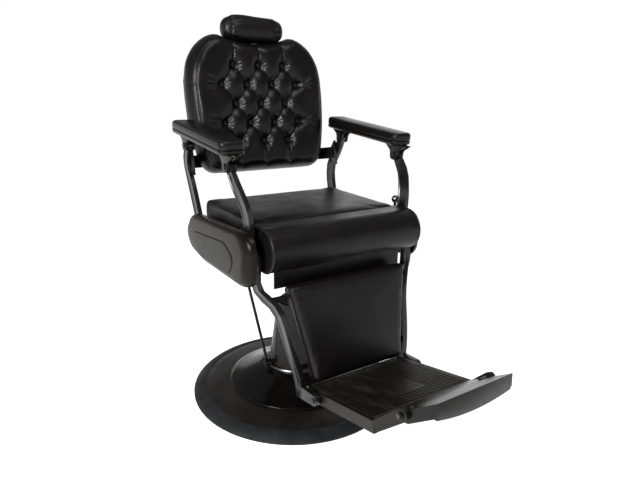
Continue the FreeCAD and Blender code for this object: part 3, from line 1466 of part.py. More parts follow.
def make_toe_board(boss_inner):
    """The tipping board at the front: a tapering tread with side cheeks and a bowed front lip."""
    rear = toe_rear_reach
    front = -toe_front_reach
    low = toe_top - toe_thickness
    skin = toe_top - tray_thickness
    plate = plan_slab([(-toe_front_half_width, front), (toe_front_half_width, front),
                       (toe_rear_half_width, rear), (-toe_rear_half_width, rear)], 0, skin, toe_top)
    webs = []
    for side in (-1, 1):
        web = plan_slab([(side * toe_front_half_width, front),
                         (side * (toe_front_half_width - tray_thickness), front),
                         (side * (toe_rear_half_width - tray_thickness), rear),
                         (side * toe_rear_half_width, rear)], 0, low, toe_top - seam_lap)
        webs.append(web)
    toe_cut = side_slab([(rear + overrun, skin), (rear * 0.55, skin), (-rear * 0.1, low - overrun),
                         (rear + overrun, low - overrun)], 0, -rail_outer, rail_outer)
    webs = [web.cut(toe_cut) for web in webs]
    boss_end = boss_inner - face_gap
    bosses = [cross_rod(side * (toe_front_half_width - tray_thickness), side * boss_end, 0, 0,
                        toe_boss_radius)
              for side in (-1, 1)]
    board = fuse_all([plate] + webs + bosses)
    angle = toe_board_slope
    board.rotate(origin, x_axis, -angle)
    board.translate(Vector(0, toe_pin_y, toe_pin_z))
    slope = math.radians(angle)
    lip_top = toe_pin_z + toe_front_reach * math.sin(slope) + toe_top * math.cos(slope)
    lip_front = toe_pin_y - toe_front_reach * math.cos(slope) + toe_top * math.sin(slope)
    half = toe_front_half_width
    upper_left = Vector(-half, lip_front, lip_top)
    upper_right = Vector(half, lip_front, lip_top)
    left = Vector(-half, lip_front, lip_top - toe_lip_depth)
    right = Vector(half, lip_front, lip_top - toe_lip_depth)
    middle = Vector(0, lip_front, lip_top - toe_lip_depth - toe_lip_bow)
    lip = Part.Face(Part.Wire([
        Part.LineSegment(upper_left, upper_right).toShape(),
        Part.LineSegment(upper_right, right).toShape(),
        Part.Arc(right, middle, left).toShape(),
        Part.LineSegment(left, upper_left).toShape(),
    ])).extrude(Vector(0, toe_lip_wall, 0))
    over = box(-half - overrun, half + overrun, -toe_lip_wall * 2, toe_lip_wall * 3, 0, toe_lip_wall * 2)
    over.rotate(origin, x_axis, -angle)
    over.translate(upper_left + Vector(half, 0, 0))
    ahead = box(-rail_outer, rail_outer, lip_front - toe_front_reach, lip_front, toe_pin_z - toe_front_reach,
                lip_top + toe_front_reach)
    board = fuse_all([board.cut(ahead), lip.cut(over)])
    hole = cross_rod(-rail_outer, rail_outer, toe_pin_y, toe_pin_z, toe_pin_radius + running_gap)
    save("toe_board", board.cut(hole))


# Release lever for the recline, on the sitter's left, with a ball knob beside the seat
def make_release_lever():
    shaft_from = panel_outer + inset_rise + face_gap
    hub_width = release_hub_radius
    hub = cross_rod(shaft_from, shaft_from + hub_width, release_y, release_z, release_hub_radius)
    stud = cross_rod(panel_outer - panel_wall - panel_boss_reach, shaft_from + hub_width, release_y,
                     release_z,
                     release_shaft_radius)
    foot = Vector(shaft_from + hub_width / 2, release_y, release_z)
    head = foot + Vector(release_out, 0, release_rise)
    stem = rod(foot, head, release_rod_radius)
    save("release_lever", fuse_all([hub, stem, stud]))
    rings = []
    for level in range(1, knob_ring_count):
        climb = math.pi * level / knob_ring_count
        turns = [2 * math.pi * corner / knob_side_count for corner in range(knob_side_count)]
        rings.append([head + Vector(math.sin(climb) * math.cos(turn), math.sin(climb) * math.sin(turn),
                                    -math.cos(climb)) * release_knob_radius for turn in turns])
    save("release_knob", facet_net(rings).cut(rod(foot, head, release_rod_radius)))


os.makedirs("parts", exist_ok=True)
make_base()
make_column()
make_pump_lever()
make_seat_carrier()
make_seat_frame()
make_seat_upholstery()
make_side_castings()
make_posts()
make_armrests()
make_backrest()
make_headrest()
make_leg_bars(*make_legrest())
make_toe_board(make_footplate())
make_release_lever()
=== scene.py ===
import math
import bmesh
import bpy
import numpy as np
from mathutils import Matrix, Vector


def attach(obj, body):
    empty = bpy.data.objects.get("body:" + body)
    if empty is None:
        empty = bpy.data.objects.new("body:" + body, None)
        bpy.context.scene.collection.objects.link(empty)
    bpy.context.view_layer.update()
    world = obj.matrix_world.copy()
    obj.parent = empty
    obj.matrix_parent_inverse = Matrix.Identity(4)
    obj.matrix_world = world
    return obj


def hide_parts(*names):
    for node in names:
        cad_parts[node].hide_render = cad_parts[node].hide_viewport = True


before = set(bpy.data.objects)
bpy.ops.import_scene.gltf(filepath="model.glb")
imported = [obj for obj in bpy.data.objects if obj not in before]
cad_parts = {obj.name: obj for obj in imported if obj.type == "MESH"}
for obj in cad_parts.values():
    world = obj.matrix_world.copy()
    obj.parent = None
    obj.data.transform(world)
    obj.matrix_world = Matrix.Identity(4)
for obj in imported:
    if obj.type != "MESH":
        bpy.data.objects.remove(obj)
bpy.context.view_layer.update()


# Floor base: a cast disc, a grey rubber edge ring and a pressed steel dome over the pump's foot.
# The disc is brushed with a thin black enamel, the dome is dipped and glossy, and the ring is bare
# moulded rubber that has greyed.
def linear(hex_text):
    """An sRGB hex colour as linear red, green, blue and full cover, by the sRGB transfer curve."""
    value = np.array([int(hex_text[i:i + 2], 16) for i in (1, 3, 5)]) / 255
    low = value / 12.92
    high = ((value + 0.055) / 1.055) ** 2.4
    return (*np.where(value <= 0.04045, low, high).tolist(), 1.0)


def add(tree, kind, settings=None, **links):
    """Adds one node, with its own settings, and fills or links its inputs by name or by number."""
    made = tree.nodes.new(kind)
    for name, value in (settings or {}).items():
        setattr(made, name, value)
    for name, value in links.items():
        key = int(name[1:]) if name[0] == "i" and name[1:].isdigit() else name.replace("_", " ")
        if isinstance(value, bpy.types.NodeSocket):
            tree.links.new(value, made.inputs[key])
        else:
            made.inputs[key].default_value = value
    return made.outputs


def finish(name, roughness, **sockets):
    """A new material with one Principled shader: the material, its node tree and the shader's inputs."""
    made = bpy.data.materials.new(name)
    made.use_nodes = True
    shader = made.node_tree.nodes["Principled BSDF"]
    shader.inputs["Roughness"].default_value = roughness
    for key, value in sockets.items():
        shader.inputs[key.replace("_", " ")].default_value = value
    return made, made.node_tree, shader.inputs


def cloud(tree, size_mm, detail=4.0, stretch=(1, 1, 1)):
    """Noise whose lumps are about size_mm across, read in the object's own place, drawn out by stretch."""
    place = add(tree, "ShaderNodeTexCoord")["Object"]
    scale = [1000 / size_mm * share for share in stretch]
    turned = add(tree, "ShaderNodeMapping", Vector=place, Scale=scale)[0]
    return add(tree, "ShaderNodeTexNoise", Vector=turned, Scale=1.0, Detail=detail, Roughness=0.6)["Fac"]


def spread(tree, value, low, high, out_low, out_high):
    """Carries a value from one range to another and holds it there."""
    return add(tree, "ShaderNodeMapRange", i0=value, i1=low, i2=high, i3=out_low, i4=out_high)[0]


def blend_colour(tree, share, first, second):
    """A mix of two hex colours, or of a socket and a hex colour, by share."""
    one = first if isinstance(first, bpy.types.NodeSocket) else linear(first)
    return add(tree, "ShaderNodeMix", {"data_type": "RGBA"}, i0=share, i6=one, i7=linear(second))[2]


def enamel(name, colour, dusty, gloss, grain_mm, grain_depth, patch_mm, mirror=0.24):
    """Painted metal: fine orange peel, a cloudy sheen between two roughnesses, and dust that lies in
    patches. Mirror is how strongly the paint reflects."""
    made, tree, shader = finish(name, gloss[0], IOR=1.5, Specular_IOR_Level=mirror)
    share = spread(tree, cloud(tree, patch_mm, 6.0), 0.38, 0.72, 0.0, 1.0)
    tree.links.new(blend_colour(tree, share, colour, dusty), shader["Base Color"])
    sheen = spread(tree, cloud(tree, patch_mm / 6, 5.0), 0.3, 0.75, gloss[0], gloss[1])
    tree.links.new(sheen, shader["Roughness"])
    grain = cloud(tree, grain_mm)
    peel = add(tree, "ShaderNodeBump", Strength=0.35, Distance=grain_depth / 1000, Height=grain)[0]
    tree.links.new(peel, shader["Normal"])
    return made


def dress(made, *nodes):
    """Gives CAD nodes a material."""
    for node in nodes:
        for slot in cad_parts[node].material_slots:
            slot.material = made


def soften(node, width_mm=0.0):
    """Breaks a casting's sharp edges by width_mm and smooths all that turn by less than 36 degrees. With no
    width, the shading is weighted by area instead, so that wide faces stay level."""
    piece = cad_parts[node]
    joined = piece.modifiers.new("joined", "WELD")
    joined.merge_threshold = 0.00002
    if width_mm:
        broken = piece.modifiers.new("broken_edges", "BEVEL")
        broken.width = width_mm / 1000
        broken.segments = 2
        broken.limit_method = "ANGLE"
        broken.angle_limit = math.radians(38)
    smooth = piece.modifiers.new("smooth", "NODES")
    smooth.node_group = smooth_tree
    if not width_mm:
        level = piece.modifiers.new("wide_faces_level", "WEIGHTED_NORMAL")
        level.keep_sharp = True


smooth_tree = bpy.data.node_groups.new("smooth_below_limit", "GeometryNodeTree")
smooth_tree.interface.new_socket("Geometry", in_out="INPUT", socket_type="NodeSocketGeometry")
smooth_tree.interface.new_socket("Geometry", in_out="OUTPUT", socket_type="NodeSocketGeometry")
came = add(smooth_tree, "NodeGroupInput")[0]
wiped = add(smooth_tree, "GeometryNodeRemoveAttribute", Geometry=came, Name="custom_normal")[0]
turned_by = add(smooth_tree, "GeometryNodeInputMeshEdgeAngle")[0]
sharp = add(smooth_tree, "ShaderNodeMath", {"operation": "GREATER_THAN"}, i0=turned_by,
            i1=math.radians(36))[0]
all_smooth = add(smooth_tree, "GeometryNodeSetShadeSmooth", {"domain": "FACE"}, Geometry=wiped,
                 Shade_Smooth=True)[0]
all_edges = add(smooth_tree, "GeometryNodeSetShadeSmooth", {"domain": "EDGE"}, Geometry=all_smooth,
                Shade_Smooth=True)[0]
kept_sharp = add(smooth_tree, "GeometryNodeSetShadeSmooth", {"domain": "EDGE"}, Geometry=all_edges,
                 Selection=sharp, Shade_Smooth=False)[0]
add(smooth_tree, "NodeGroupOutput", i0=kept_sharp)

# Brushed black enamel on cast iron: soft, a little brown where dust lies on it
disc_enamel = enamel("brushed_black_enamel_on_cast_iron", "#161413", "#2a2625", (0.3, 0.5), 4.0, 0.25,
                     90.0)
dress(disc_enamel, "base_plate")
soften("base_plate", 1.5)

# Moulded rubber, greyed by floor polish: matt, with smears round it
ring_rubber = enamel("moulded_grey_rubber", "#1b1e1f", "#2d3132", (0.55, 0.8), 3.0, 0.3, 60.0)
dress(ring_rubber, "base_rim")

# Dipped black enamel on pressed steel: mirror gloss with a faint orange peel
dome_enamel = enamel("dipped_gloss_enamel_on_pressed_steel", "#0a0909", "#151312", (0.1, 0.2), 9.0, 0.2,
                     120.0)
dress(dome_enamel, "base_dome")
soften("base_dome", 1.6)

# Zinc plated bolts, gone dull
dull_zinc = enamel("dull_zinc_plated_steel", "#3b3c3d", "#565554", (0.35, 0.55), 2.0, 0.1, 12.0)
dull_zinc.node_tree.nodes["Principled BSDF"].inputs["Metallic"].default_value = 0.85
dress(dull_zinc, "pump_bolts", "frame_bolts")


# Column: a tapering pressed shroud with a bare steel ring at its foot, and the pump cylinder inside it,
# from which the ground piston lifts the chair. The painted ones wear a satin enamel.
satin_enamel = enamel("sprayed_satin_enamel_on_cast_iron", "#0d0c0c", "#191614", (0.24, 0.36), 3.0, 0.2,
                      80.0)
dress(satin_enamel, "column_shroud", "gland_ring", "pump_cylinder")

# Turned steel, dulled by handling: grey, with a finely broken sheen left by the lathe
turned_steel, ring_tree, ring_inputs = finish("dulled_turned_steel", 0.3, Metallic=1.0)
ring_share = spread(ring_tree, cloud(ring_tree, 14.0), 0.3, 0.7, 0.0, 1.0)
ring_tree.links.new(blend_colour(ring_tree, ring_share, "#7d7a76", "#57534f"), ring_inputs["Base Color"])
ring_sheen = spread(ring_tree, cloud(ring_tree, 1.6), 0.3, 0.7, 0.24, 0.42)
ring_tree.links.new(ring_sheen, ring_inputs["Roughness"])
dress(turned_steel, "shroud_ring")

# Ground steel under an oil film: darker, with fine upright scratches
oiled_steel, oil_tree, oil_inputs = finish("ground_oiled_steel", 0.25, Metallic=1.0)
oil_share = spread(oil_tree, cloud(oil_tree, 1.2, 3.0, (1, 1, 0.05)), 0.3, 0.7, 0.0, 1.0)
oil_tree.links.new(blend_colour(oil_tree, oil_share, "#4c4a48", "#6d6a66"), oil_inputs["Base Color"])
oil_tree.links.new(spread(oil_tree, oil_share, 0.0, 1.0, 0.2, 0.4), oil_inputs["Roughness"])
dress(oiled_steel, "piston_rod", "linkage_pins", "headrest_bar")


# Pump lever: a thin painted rod from a hub at the shroud's foot, with a ribbed rubber sleeve on its end.
dress(satin_enamel, "lever_hub", "lever_rod")

# Extruded rubber sleeve: matt black with fine rings
grip_rubber, grip_tree, grip_inputs = finish("extruded_black_rubber", 0.7)
grip_share = spread(grip_tree, cloud(grip_tree, 10.0), 0.35, 0.7, 0.0, 1.0)
grip_tree.links.new(blend_colour(grip_tree, grip_share, "#121212", "#222120"), grip_inputs["Base Color"])
grip_place = add(grip_tree, "ShaderNodeTexCoord")["Object"]
grip_rings = add(grip_tree, "ShaderNodeTexWave", {"bands_direction": "Z"}, Vector=grip_place,
                 Scale=60.0)["Fac"]
grip_relief = add(grip_tree, "ShaderNodeBump", Strength=0.6, Distance=0.0006, Height=grip_rings)[0]
grip_tree.links.new(grip_relief, grip_inputs["Normal"])
dress(grip_rubber, "lever_grip")


# Seat: a cast hub with a star, a welded angle frame and a plywood board, under a boxed foam cushion
# and a rolled front edge with an apron below it, all in black upholstery vinyl.
rough_enamel = enamel("brushed_enamel_on_welded_steel", "#100f0f", "#1f1c1b", (0.4, 0.6), 2.5, 0.4, 50.0)
dress(rough_enamel, "seat_hub", "seat_frame")

# Rotary cut plywood, unfinished: pale layers and long grain across the chair
plywood, ply_tree, ply_inputs = finish("bare_rotary_cut_plywood", 0.7)
ply_share = spread(ply_tree, cloud(ply_tree, 22.0, 6.0, (0.12, 1, 6)), 0.3, 0.7, 0.0, 1.0)
ply_tree.links.new(blend_colour(ply_tree, ply_share, "#8a6d4a", "#5f4830"), ply_inputs["Base Color"])
dress(plywood, "seat_board")

# The boards whose edges show are stained black, so only their grain stays
stained_ply = enamel("black_stained_plywood", "#14100d", "#241b14", (0.55, 0.75), 3.0, 0.3, 30.0)
dress(stained_ply, "back_board", "leg_board")


def leather(name, colour, worn, gloss, grain_mm=2.2, grain_depth=0.16):
    """Embossed vinyl: cells of grain with valleys between them, soft creases, and a sheen rubbed in patches.
    The real grain is near 1 mm, and it is drawn at 2.2 mm so that it shows at all."""
    made, tree, shader = finish(name, gloss[0], IOR=1.48, Specular_IOR_Level=0.26)
    cells_per_metre = 1000 / grain_mm
    place = add(tree, "ShaderNodeTexCoord")["Object"]
    swirl = add(tree, "ShaderNodeTexNoise", Vector=place, Scale=90.0, Detail=2.0)["Color"]
    drawn = add(tree, "ShaderNodeMix", {"data_type": "RGBA"}, i0=0.006, i6=place, i7=swirl)[2]
    cells = add(tree, "ShaderNodeTexVoronoi", {"feature": "DISTANCE_TO_EDGE"}, Vector=drawn,
                Scale=cells_per_metre)["Distance"]
    valleys = spread(tree, cells, 0.0, 0.22, 0.0, 1.0)
    creases = cloud(tree, 26.0, 3.0)
    low = add(tree, "ShaderNodeBump", Strength=0.16, Distance=0.0022, Height=creases)[0]
    relief = add(tree, "ShaderNodeBump", Strength=0.4, Distance=grain_depth / 1000, Height=valleys,
                 Normal=low)[0]
    tree.links.new(relief, shader["Normal"])
    rubbed = spread(tree, cloud(tree, 95.0, 3.0), 0.4, 0.68, 0.0, 1.0)
    tree.links.new(blend_colour(tree, rubbed, colour, worn), shader["Base Color"])
    tree.links.new(spread(tree, rubbed, 0.0, 1.0, gloss[0], gloss[1]), shader["Roughness"])
    return made


# Calendered upholstery vinyl, embossed as leather: deep black, with a satin sheen that rubs up brighter
vinyl = leather("embossed_upholstery_vinyl", "#0b090a", "#141112", (0.4, 0.3))
dress(vinyl, "front_apron")


def closed_mesh(name, points, faces, made):
    """A piece from points in millimetres and lists of corner numbers, its faces turned outwards."""
    mesh = bpy.data.meshes.new(name)
    mesh.from_pydata((np.asarray(points) / 1000).tolist(), [], [list(face) for face in faces])
    shell = bmesh.new()
    shell.from_mesh(mesh)
    bmesh.ops.recalc_face_normals(shell, faces=shell.faces)
    shell.to_mesh(mesh)
    shell.free()
    mesh.shade_smooth()
    mesh.materials.append(made)
    piece = bpy.data.objects.new(name, mesh)
    bpy.context.scene.collection.objects.link(piece)
    return piece


def ring_faces(rows, count):
    """Squares between rings of count points each, with the last point joined to the first."""
    row, column = np.meshgrid(np.arange(rows - 1), np.arange(count), indexing="ij")
    here = row * count + column
    beside = row * count + (column + 1) % count
    return np.stack([here, beside, beside + count, here + count], -1).reshape(-1, 4).tolist()


def closed_rings(rings):
    """Points and faces of a closed shape from rings, an (r, n, 3) array, each end closed by a fan."""
    rows, count = rings.shape[:2]
    middles = rings[[0, -1]].mean(1)
    points = np.concatenate([rings.reshape(-1, 3), middles])
    around = np.arange(count)
    faces = ring_faces(rows, count)
    beside = (around + 1) % count
    foot = np.stack([np.full(count, rows * count), beside, around], -1)
    top_from = (rows - 1) * count
    top = np.stack([np.full(count, rows * count + 1), top_from + around, top_from + beside], -1)
    return points, faces + foot.tolist() + top.tolist()


def rounded_outline(corners, radius, steps=12):
    """A closed run of points round corners: each corner is cut back and bowed on a parabola, and the whole
    is then spaced evenly."""
    corners = np.asarray(corners, float)
    before = np.roll(corners, 1, 0) - corners
    after = np.roll(corners, -1, 0) - corners
    before /= np.linalg.norm(before, axis=1)[:, None]
    after /= np.linalg.norm(after, axis=1)[:, None]
    t = np.linspace(0, 1, steps)[None, :, None]
    start = (corners + before * radius)[:, None]
    end = (corners + after * radius)[:, None]
    bowed = (1 - t) ** 2 * start + 2 * t * (1 - t) * corners[:, None] + t ** 2 * end
    return evenly(bowed.reshape(-1, corners.shape[1]), 480)


def evenly(points, count):
    """A closed run of points spaced evenly by length."""
    closed = np.concatenate([points, points[:1]])
    length = np.concatenate([[0], np.cumsum(np.linalg.norm(np.diff(closed, axis=0), axis=1))])
    place = np.linspace(0, length[-1], count, endpoint=False)
    return np.stack([np.interp(place, length, closed[:, axis]) for axis in range(points.shape[1])], -1)


def pad_rings(outline, height, round_top, round_foot, crown, in_steps=34):
    """Rings of a boxed pad: up a bulging wall, over a rounded top edge, and in to the middle of a crowned
    top. Each ring is the outline shrunk about its middle by what the profile gives."""
    middle = outline.mean(0)
    reach = np.abs(outline - middle).max(0)
    turn = np.linspace(0, 1, 7) * math.pi / 2
    foot_in = round_foot * (1 - np.sin(turn))
    foot_up = round_foot * (1 - np.cos(turn))
    wall = np.linspace(0, 1, 9)[1:-1]
    bulge = 1.6
    wall_in = -bulge * np.sin(wall * math.pi)
    wall_up = round_foot + (height - round_foot - round_top) * wall
    top_in = round_top * (1 - np.cos(turn))
    top_up = height - round_top + round_top * np.sin(turn)
    inward = np.linspace(0, 1, in_steps)[1:-1] ** 1.15
    drawn = np.concatenate([foot_in, wall_in, top_in])
    rise = np.concatenate([foot_up, wall_up, top_up])
    scale = 1 - drawn[:, None] / reach[None, :]
    inner = (1 - round_top / reach)[None, :] * (1 - inward[:, None])
    rise = np.concatenate([rise, height + crown * (1 - (1 - inward) ** 2)])
    scale = np.concatenate([scale, inner])
    flat = middle + (outline - middle)[None] * scale[:, None, :]
    up = np.broadcast_to(rise[:, None, None], (*flat.shape[:2], 1))
    return np.concatenate([flat, up], -1)


def corners_of(piece):
    """A piece's points, in millimetres."""
    flat = np.empty(len(piece.data.vertices) * 3)
    piece.data.vertices.foreach_get("co", flat)
    return flat.reshape(-1, 3) * 1000


def move_to(piece, points):
    """Writes a piece's points, given in millimetres."""
    piece.data.vertices.foreach_set("co", (points / 1000).ravel())
    piece.data.update()


def settle(piece):
    """Bakes a piece's modifiers into its mesh."""
    ready = piece.evaluated_get(bpy.context.evaluated_depsgraph_get())
    mesh = bpy.data.meshes.new_from_object(ready)
    piece.modifiers.clear()
    piece.data = mesh


def stuffed(piece, cap_mm, cell_mm=5.0):
    """Swells a piece as Cloth under air pressure for twenty frames, no point going further than cap_mm,
    then divides it once."""
    cells = piece.modifiers.new("cells", "REMESH")
    cells.mode = "VOXEL"
    cells.voxel_size = cell_mm / 1000
    settle(piece)
    start = corners_of(piece)
    air = piece.modifiers.new("air", "CLOTH")
    air.settings.use_pressure = True
    air.settings.uniform_pressure_force = 4.0
    air.settings.effector_weights.gravity = 0.0
    for step in range(1, 21):
        bpy.context.scene.frame_set(step)
    ready = piece.evaluated_get(bpy.context.evaluated_depsgraph_get())
    flat = np.empty(len(ready.data.vertices) * 3)
    ready.data.vertices.foreach_get("co", flat)
    piece.modifiers.clear()
    bpy.context.scene.frame_set(1)
    way = flat.reshape(-1, 3) * 1000 - start
    length = np.linalg.norm(way, axis=1)[:, None]
    move_to(piece, start + way * np.minimum(1, cap_mm / np.maximum(length, 1e-6)))
    divided = piece.modifiers.new("divided", "SUBSURF")
    divided.levels = 1
    divided.render_levels = 1
    settle(piece)
    piece.data.shade_smooth()


def press(piece, depth):
    """Moves each point along its normal by depth(points), in millimetres."""
    points = corners_of(piece)
    flat = np.empty(len(points) * 3)
    piece.data.vertex_normals.foreach_get("vector", flat)
    move_to(piece, points + flat.reshape(-1, 3) * depth(points)[:, None])


def welt(name, path, radius, made, body, sides=10):
    """A covered cord along a closed path: a circle carried square to the path."""
    along = np.roll(path, -1, 0) - np.roll(path, 1, 0)
    along /= np.linalg.norm(along, axis=1)[:, None]
    side = np.cross(along, np.array([0.31, 0.17, 0.93]))
    side /= np.linalg.norm(side, axis=1)[:, None]
    over = np.cross(along, side)
    turn = np.linspace(0, 2 * math.pi, sides, endpoint=False)[None, :, None]
    rings = path[:, None] + radius * (np.cos(turn) * side[:, None] + np.sin(turn) * over[:, None])
    points = rings.reshape(-1, 3)
    faces = ring_faces(len(path) + 1, sides)
    faces = (np.array(faces) % len(points)).tolist()
    piece = closed_mesh(name, points, faces, made)
    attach(piece, body)


seat_half, seat_front, seat_back = 254.0, -201.0, 156.0
seat_foot, seat_high = 589.6, 669.0
seat_corners = [(-seat_half, seat_front), (seat_half, seat_front), (seat_half, seat_back),
                (-seat_half, seat_back)]
seat_plan = rounded_outline(seat_corners, 16.0)
seat_rings = pad_rings(seat_plan, seat_high - seat_foot - 1.0, 11.0, 5.0, 3.5)
seat_points, seat_faces = closed_rings(seat_rings)
seat_points[:, 2] += seat_foot
seat = closed_mesh("seat_cushion_cover", seat_points, seat_faces, vinyl)
stuffed(seat, 3.0)


def seat_folds(points):
    """Shallow hollows where the sitter's weight has pressed, fine pulls in from the corners, and slack
    sides."""
    x, y, z = points.T
    top_band, hollow_deep, hollow_x = 14, 2.6, 95
    top = np.clip((z - seat_high + top_band) / top_band, 0, 1)
    hollow = -hollow_deep * np.exp(-((np.abs(x) - hollow_x) / 90) ** 2 - ((y - 10) / 105) ** 2)
    middle_y, half_y = -22, 178
    corner = np.hypot(np.abs(x) - seat_half, np.abs(y - middle_y) - half_y)
    pull_deep, pull_reach = 0.7, 38
    pulls = pull_deep * np.exp(-corner / pull_reach) * np.sin(corner / 5.5 + x / 31)
    slack_deep = 0.45
    slack = np.where(z < seat_high - 12, slack_deep * np.sin(z / 11 + x / 60 + y / 47), 0.0)
    return hollow * top + pulls * top + slack


press(seat, seat_folds)
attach(seat, "seat")
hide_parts("seat_cushion")

# The rolled front: a half round of foam on a board, ends closed by sewn side panels with a welt
roll_y, roll_z, roll_r, roll_half = -258.0, 608.0, 61.5, 257.0
roll_count = 240


def roll_ring(radius):
    """The roll's side view as a closed run: a half round nose of the radius and a flat rear."""
    turn = np.linspace(math.pi / 2, math.pi * 1.5, 72)
    nose = np.stack([roll_y + radius * np.cos(turn), roll_z + radius * np.sin(turn)], -1)
    rear = -205.0 - (roll_r - radius) * 0.35
    foot = np.array([[rear, roll_z - radius + 1.0], [rear, roll_z + radius - 1.0]])
    return evenly(np.concatenate([nose, foot]), roll_count)


end_table = [(7.0, 0.3), (6.6, 0.62), (6.0, 0.79), (3.6, 0.875), (1.0, 0.93), (0.0, 0.955), (0.6, 0.978),
             (2.4, 0.993)]
near = [(roll_half - inward, share) for inward, share in end_table]
middle = [(place, 1.0) for place in np.linspace(roll_half - 5.5, 5.5 - roll_half, 118)]
far = [(-place, share) for place, share in near[::-1]]
roll_rings = []
for place, share in near + middle + far:
    heart = np.array([roll_y + 18, roll_z])
    ring = heart + (roll_ring(roll_r) - heart) * share
    roll_rings.append(np.concatenate([np.full((roll_count, 1), place), ring], 1))
roll_points, roll_faces = closed_rings(np.array(roll_rings))
roll = closed_mesh("front_roll_cover", roll_points, roll_faces, vinyl)


def roll_folds(points):
    """Long shallow waves where the cover is drawn down and under, a top pressed by legs, and short pulls at
    the welted ends."""
    x, y, z = points.T
    wave_deep, pressed_deep, pull_deep = 0.6, 1.0, 0.66
    under = np.clip((roll_z + 10 - z) / 70, 0, 1)
    waves = wave_deep * under * np.sin(x / 33 + 1.7 * np.sin(x / 90))
    pressed = pressed_deep * np.clip((z - roll_z - 30) / 30, 0, 1)
    ends = np.clip((np.abs(x) - 215) / 40, 0, 1)
    pulls = pull_deep * ends * (1 - ends) * 4 * np.sin((z - roll_z) / 7 + (y - roll_y) / 9)
    return waves - pressed + pulls


press(roll, roll_folds)
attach(roll, "seat")
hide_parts("front_roll")
welt_radius, welt_sunk, welt_inward = 3.0, 1.6, 4.5
for side, hand in ((1, "left"), (-1, "right")):
    place = np.full((roll_count, 1), side * (roll_half - welt_inward))
    path = np.concatenate([place, roll_ring(roll_r - welt_sunk)], 1)
    welt("front_roll_welt_" + hand, path, welt_radius, vinyl, "seat")


# Side castings: hollow cast iron cheeks that carry the linkage, with a raised oval panel let into each.
# All are sprayed with satin enamel, over a faintly rough skin where the iron was cast in sand.
cast_enamel = enamel("sprayed_enamel_on_sand_cast_iron", "#0d0806", "#17100c", (0.24, 0.34), 5.0, 0.16,
                     55.0, 0.14)
dress(cast_enamel, "side_casting_left", "side_casting_right")
panel_enamel = enamel("sprayed_enamel_on_pressed_panel", "#0c0806", "#15100c", (0.26, 0.36), 6.0, 0.12,
                      65.0, 0.14)
dress(panel_enamel, "casting_inset_left", "casting_inset_right")
for node in ("side_casting_left", "side_casting_right", "casting_inset_left", "casting_inset_right"):
    soften(node)


# Arm linkage: four cast posts and two armrest trays, pinned as a parallelogram, with firm moulded pads.
# The posts' long edges stand up as ribs, and the paint on them is glossier, so the rib edges catch bright
# highlights.
rib_enamel = enamel("sprayed_enamel_on_cast_ribbed_bar", "#0c0c0d", "#161617", (0.16, 0.26), 3.0, 0.06,
                    60.0, 0.5)
dress(rib_enamel, "front_post_left", "front_post_right", "rear_post_left", "rear_post_right")
dress(satin_enamel, "arm_frame_left", "arm_frame_right")
dress(dull_zinc, "arm_pins_left", "arm_pins_right")
for node in ("front_post_left", "front_post_right", "rear_post_left", "rear_post_right"):
    soften(node, 1.4)
for node in ("arm_frame_left", "arm_frame_right"):
    soften(node, 1.0)

# Moulded polyurethane skin: dark, satin, with a soft leather print
pad_skin = leather("moulded_polyurethane_skin", "#0b0a0a", "#131110", (0.36, 0.28), 1.8, 0.03)
dress(pad_skin, "arm_pad_left", "arm_pad_right")
soften("arm_pad_left", 3.0)
soften("arm_pad_right", 3.0)


# Release lever: a bent rod on the sitter's left with a turned ball knob, which frees the recline.
dress(satin_enamel, "release_lever")

# Turned phenolic ball: hard, glossy, black
ball, ball_tree, ball_inputs = finish("turned_black_phenolic", 0.12, IOR=1.6)
ball_share = spread(ball_tree, cloud(ball_tree, 9.0), 0.35, 0.7, 0.0, 1.0)
ball_tree.links.new(blend_colour(ball_tree, ball_share, "#0d0d0e", "#1a1918"), ball_inputs["Base Color"])
ball_sheen = spread(ball_tree, cloud(ball_tree, 3.0), 0.3, 0.7, 0.1, 0.22)
ball_tree.links.new(ball_sheen, ball_inputs["Roughness"])
dress(ball, "release_knob", "headrest_knob")


# Backrest: foam on a plywood board, its cover drawn through to the board by seventeen buttons on twine.
# Folds run from button to button, up from the top row and down from the lowest, and a sewn bolster
# runs round both sides. A covered board closes the rear.
cover_skin = leather("glued_cover_vinyl", "#131112", "#1b1817", (0.5, 0.42), 2.0, 0.12)
dress(cover_skin, "back_cover")
dress(dull_zinc, "back_bolts", "foot_pins", "toe_pins")
back_half, back_long, back_crest, back_rear = 259.0, 456.0, 41.0, 15.5
lean_turn = math.radians(10.0)
button_pitch, row_pitch, first_row, tuft_depth = 47.0, 63.5, 100.0, 27.0
outline_rises = (0.0, 0.0, 0.012, 0.05, 0.12, 0.26, 0.4, 0.55, 0.68, 0.8, 0.9, 0.955, 0.985, 1.0, 1.0)
outline_widths = (0.6, 0.7, 0.79, 0.865, 0.92, 0.965, 0.992, 1.0, 0.995, 0.955, 0.85, 0.745, 0.66, 0.58,
                  0.545)
scoop_half, scoop_depth = 134.0, 24.0
lean_y, lean_z = 219, 738


def leaned(points):
    """From the backrest's own upright frame to its place on the chair, tipped back about its foot."""
    x, y, s = np.asarray(points).T
    return np.stack([x, lean_y + y * math.cos(lean_turn) + s * math.sin(lean_turn),
                     lean_z - y * math.sin(lean_turn) + s * math.cos(lean_turn)], -1)


def scoop_at(x):
    """How far the round notch in the top edge dips at x: a circle's arc, eased out at its ends."""
    radius = (scoop_half ** 2 + scoop_depth ** 2) / (2 * scoop_depth)
    inside = np.sqrt(np.maximum(radius ** 2 - x ** 2, 0)) - (radius - scoop_depth)
    return np.where(np.abs(x) < scoop_half, np.maximum(inside, 0), 0)


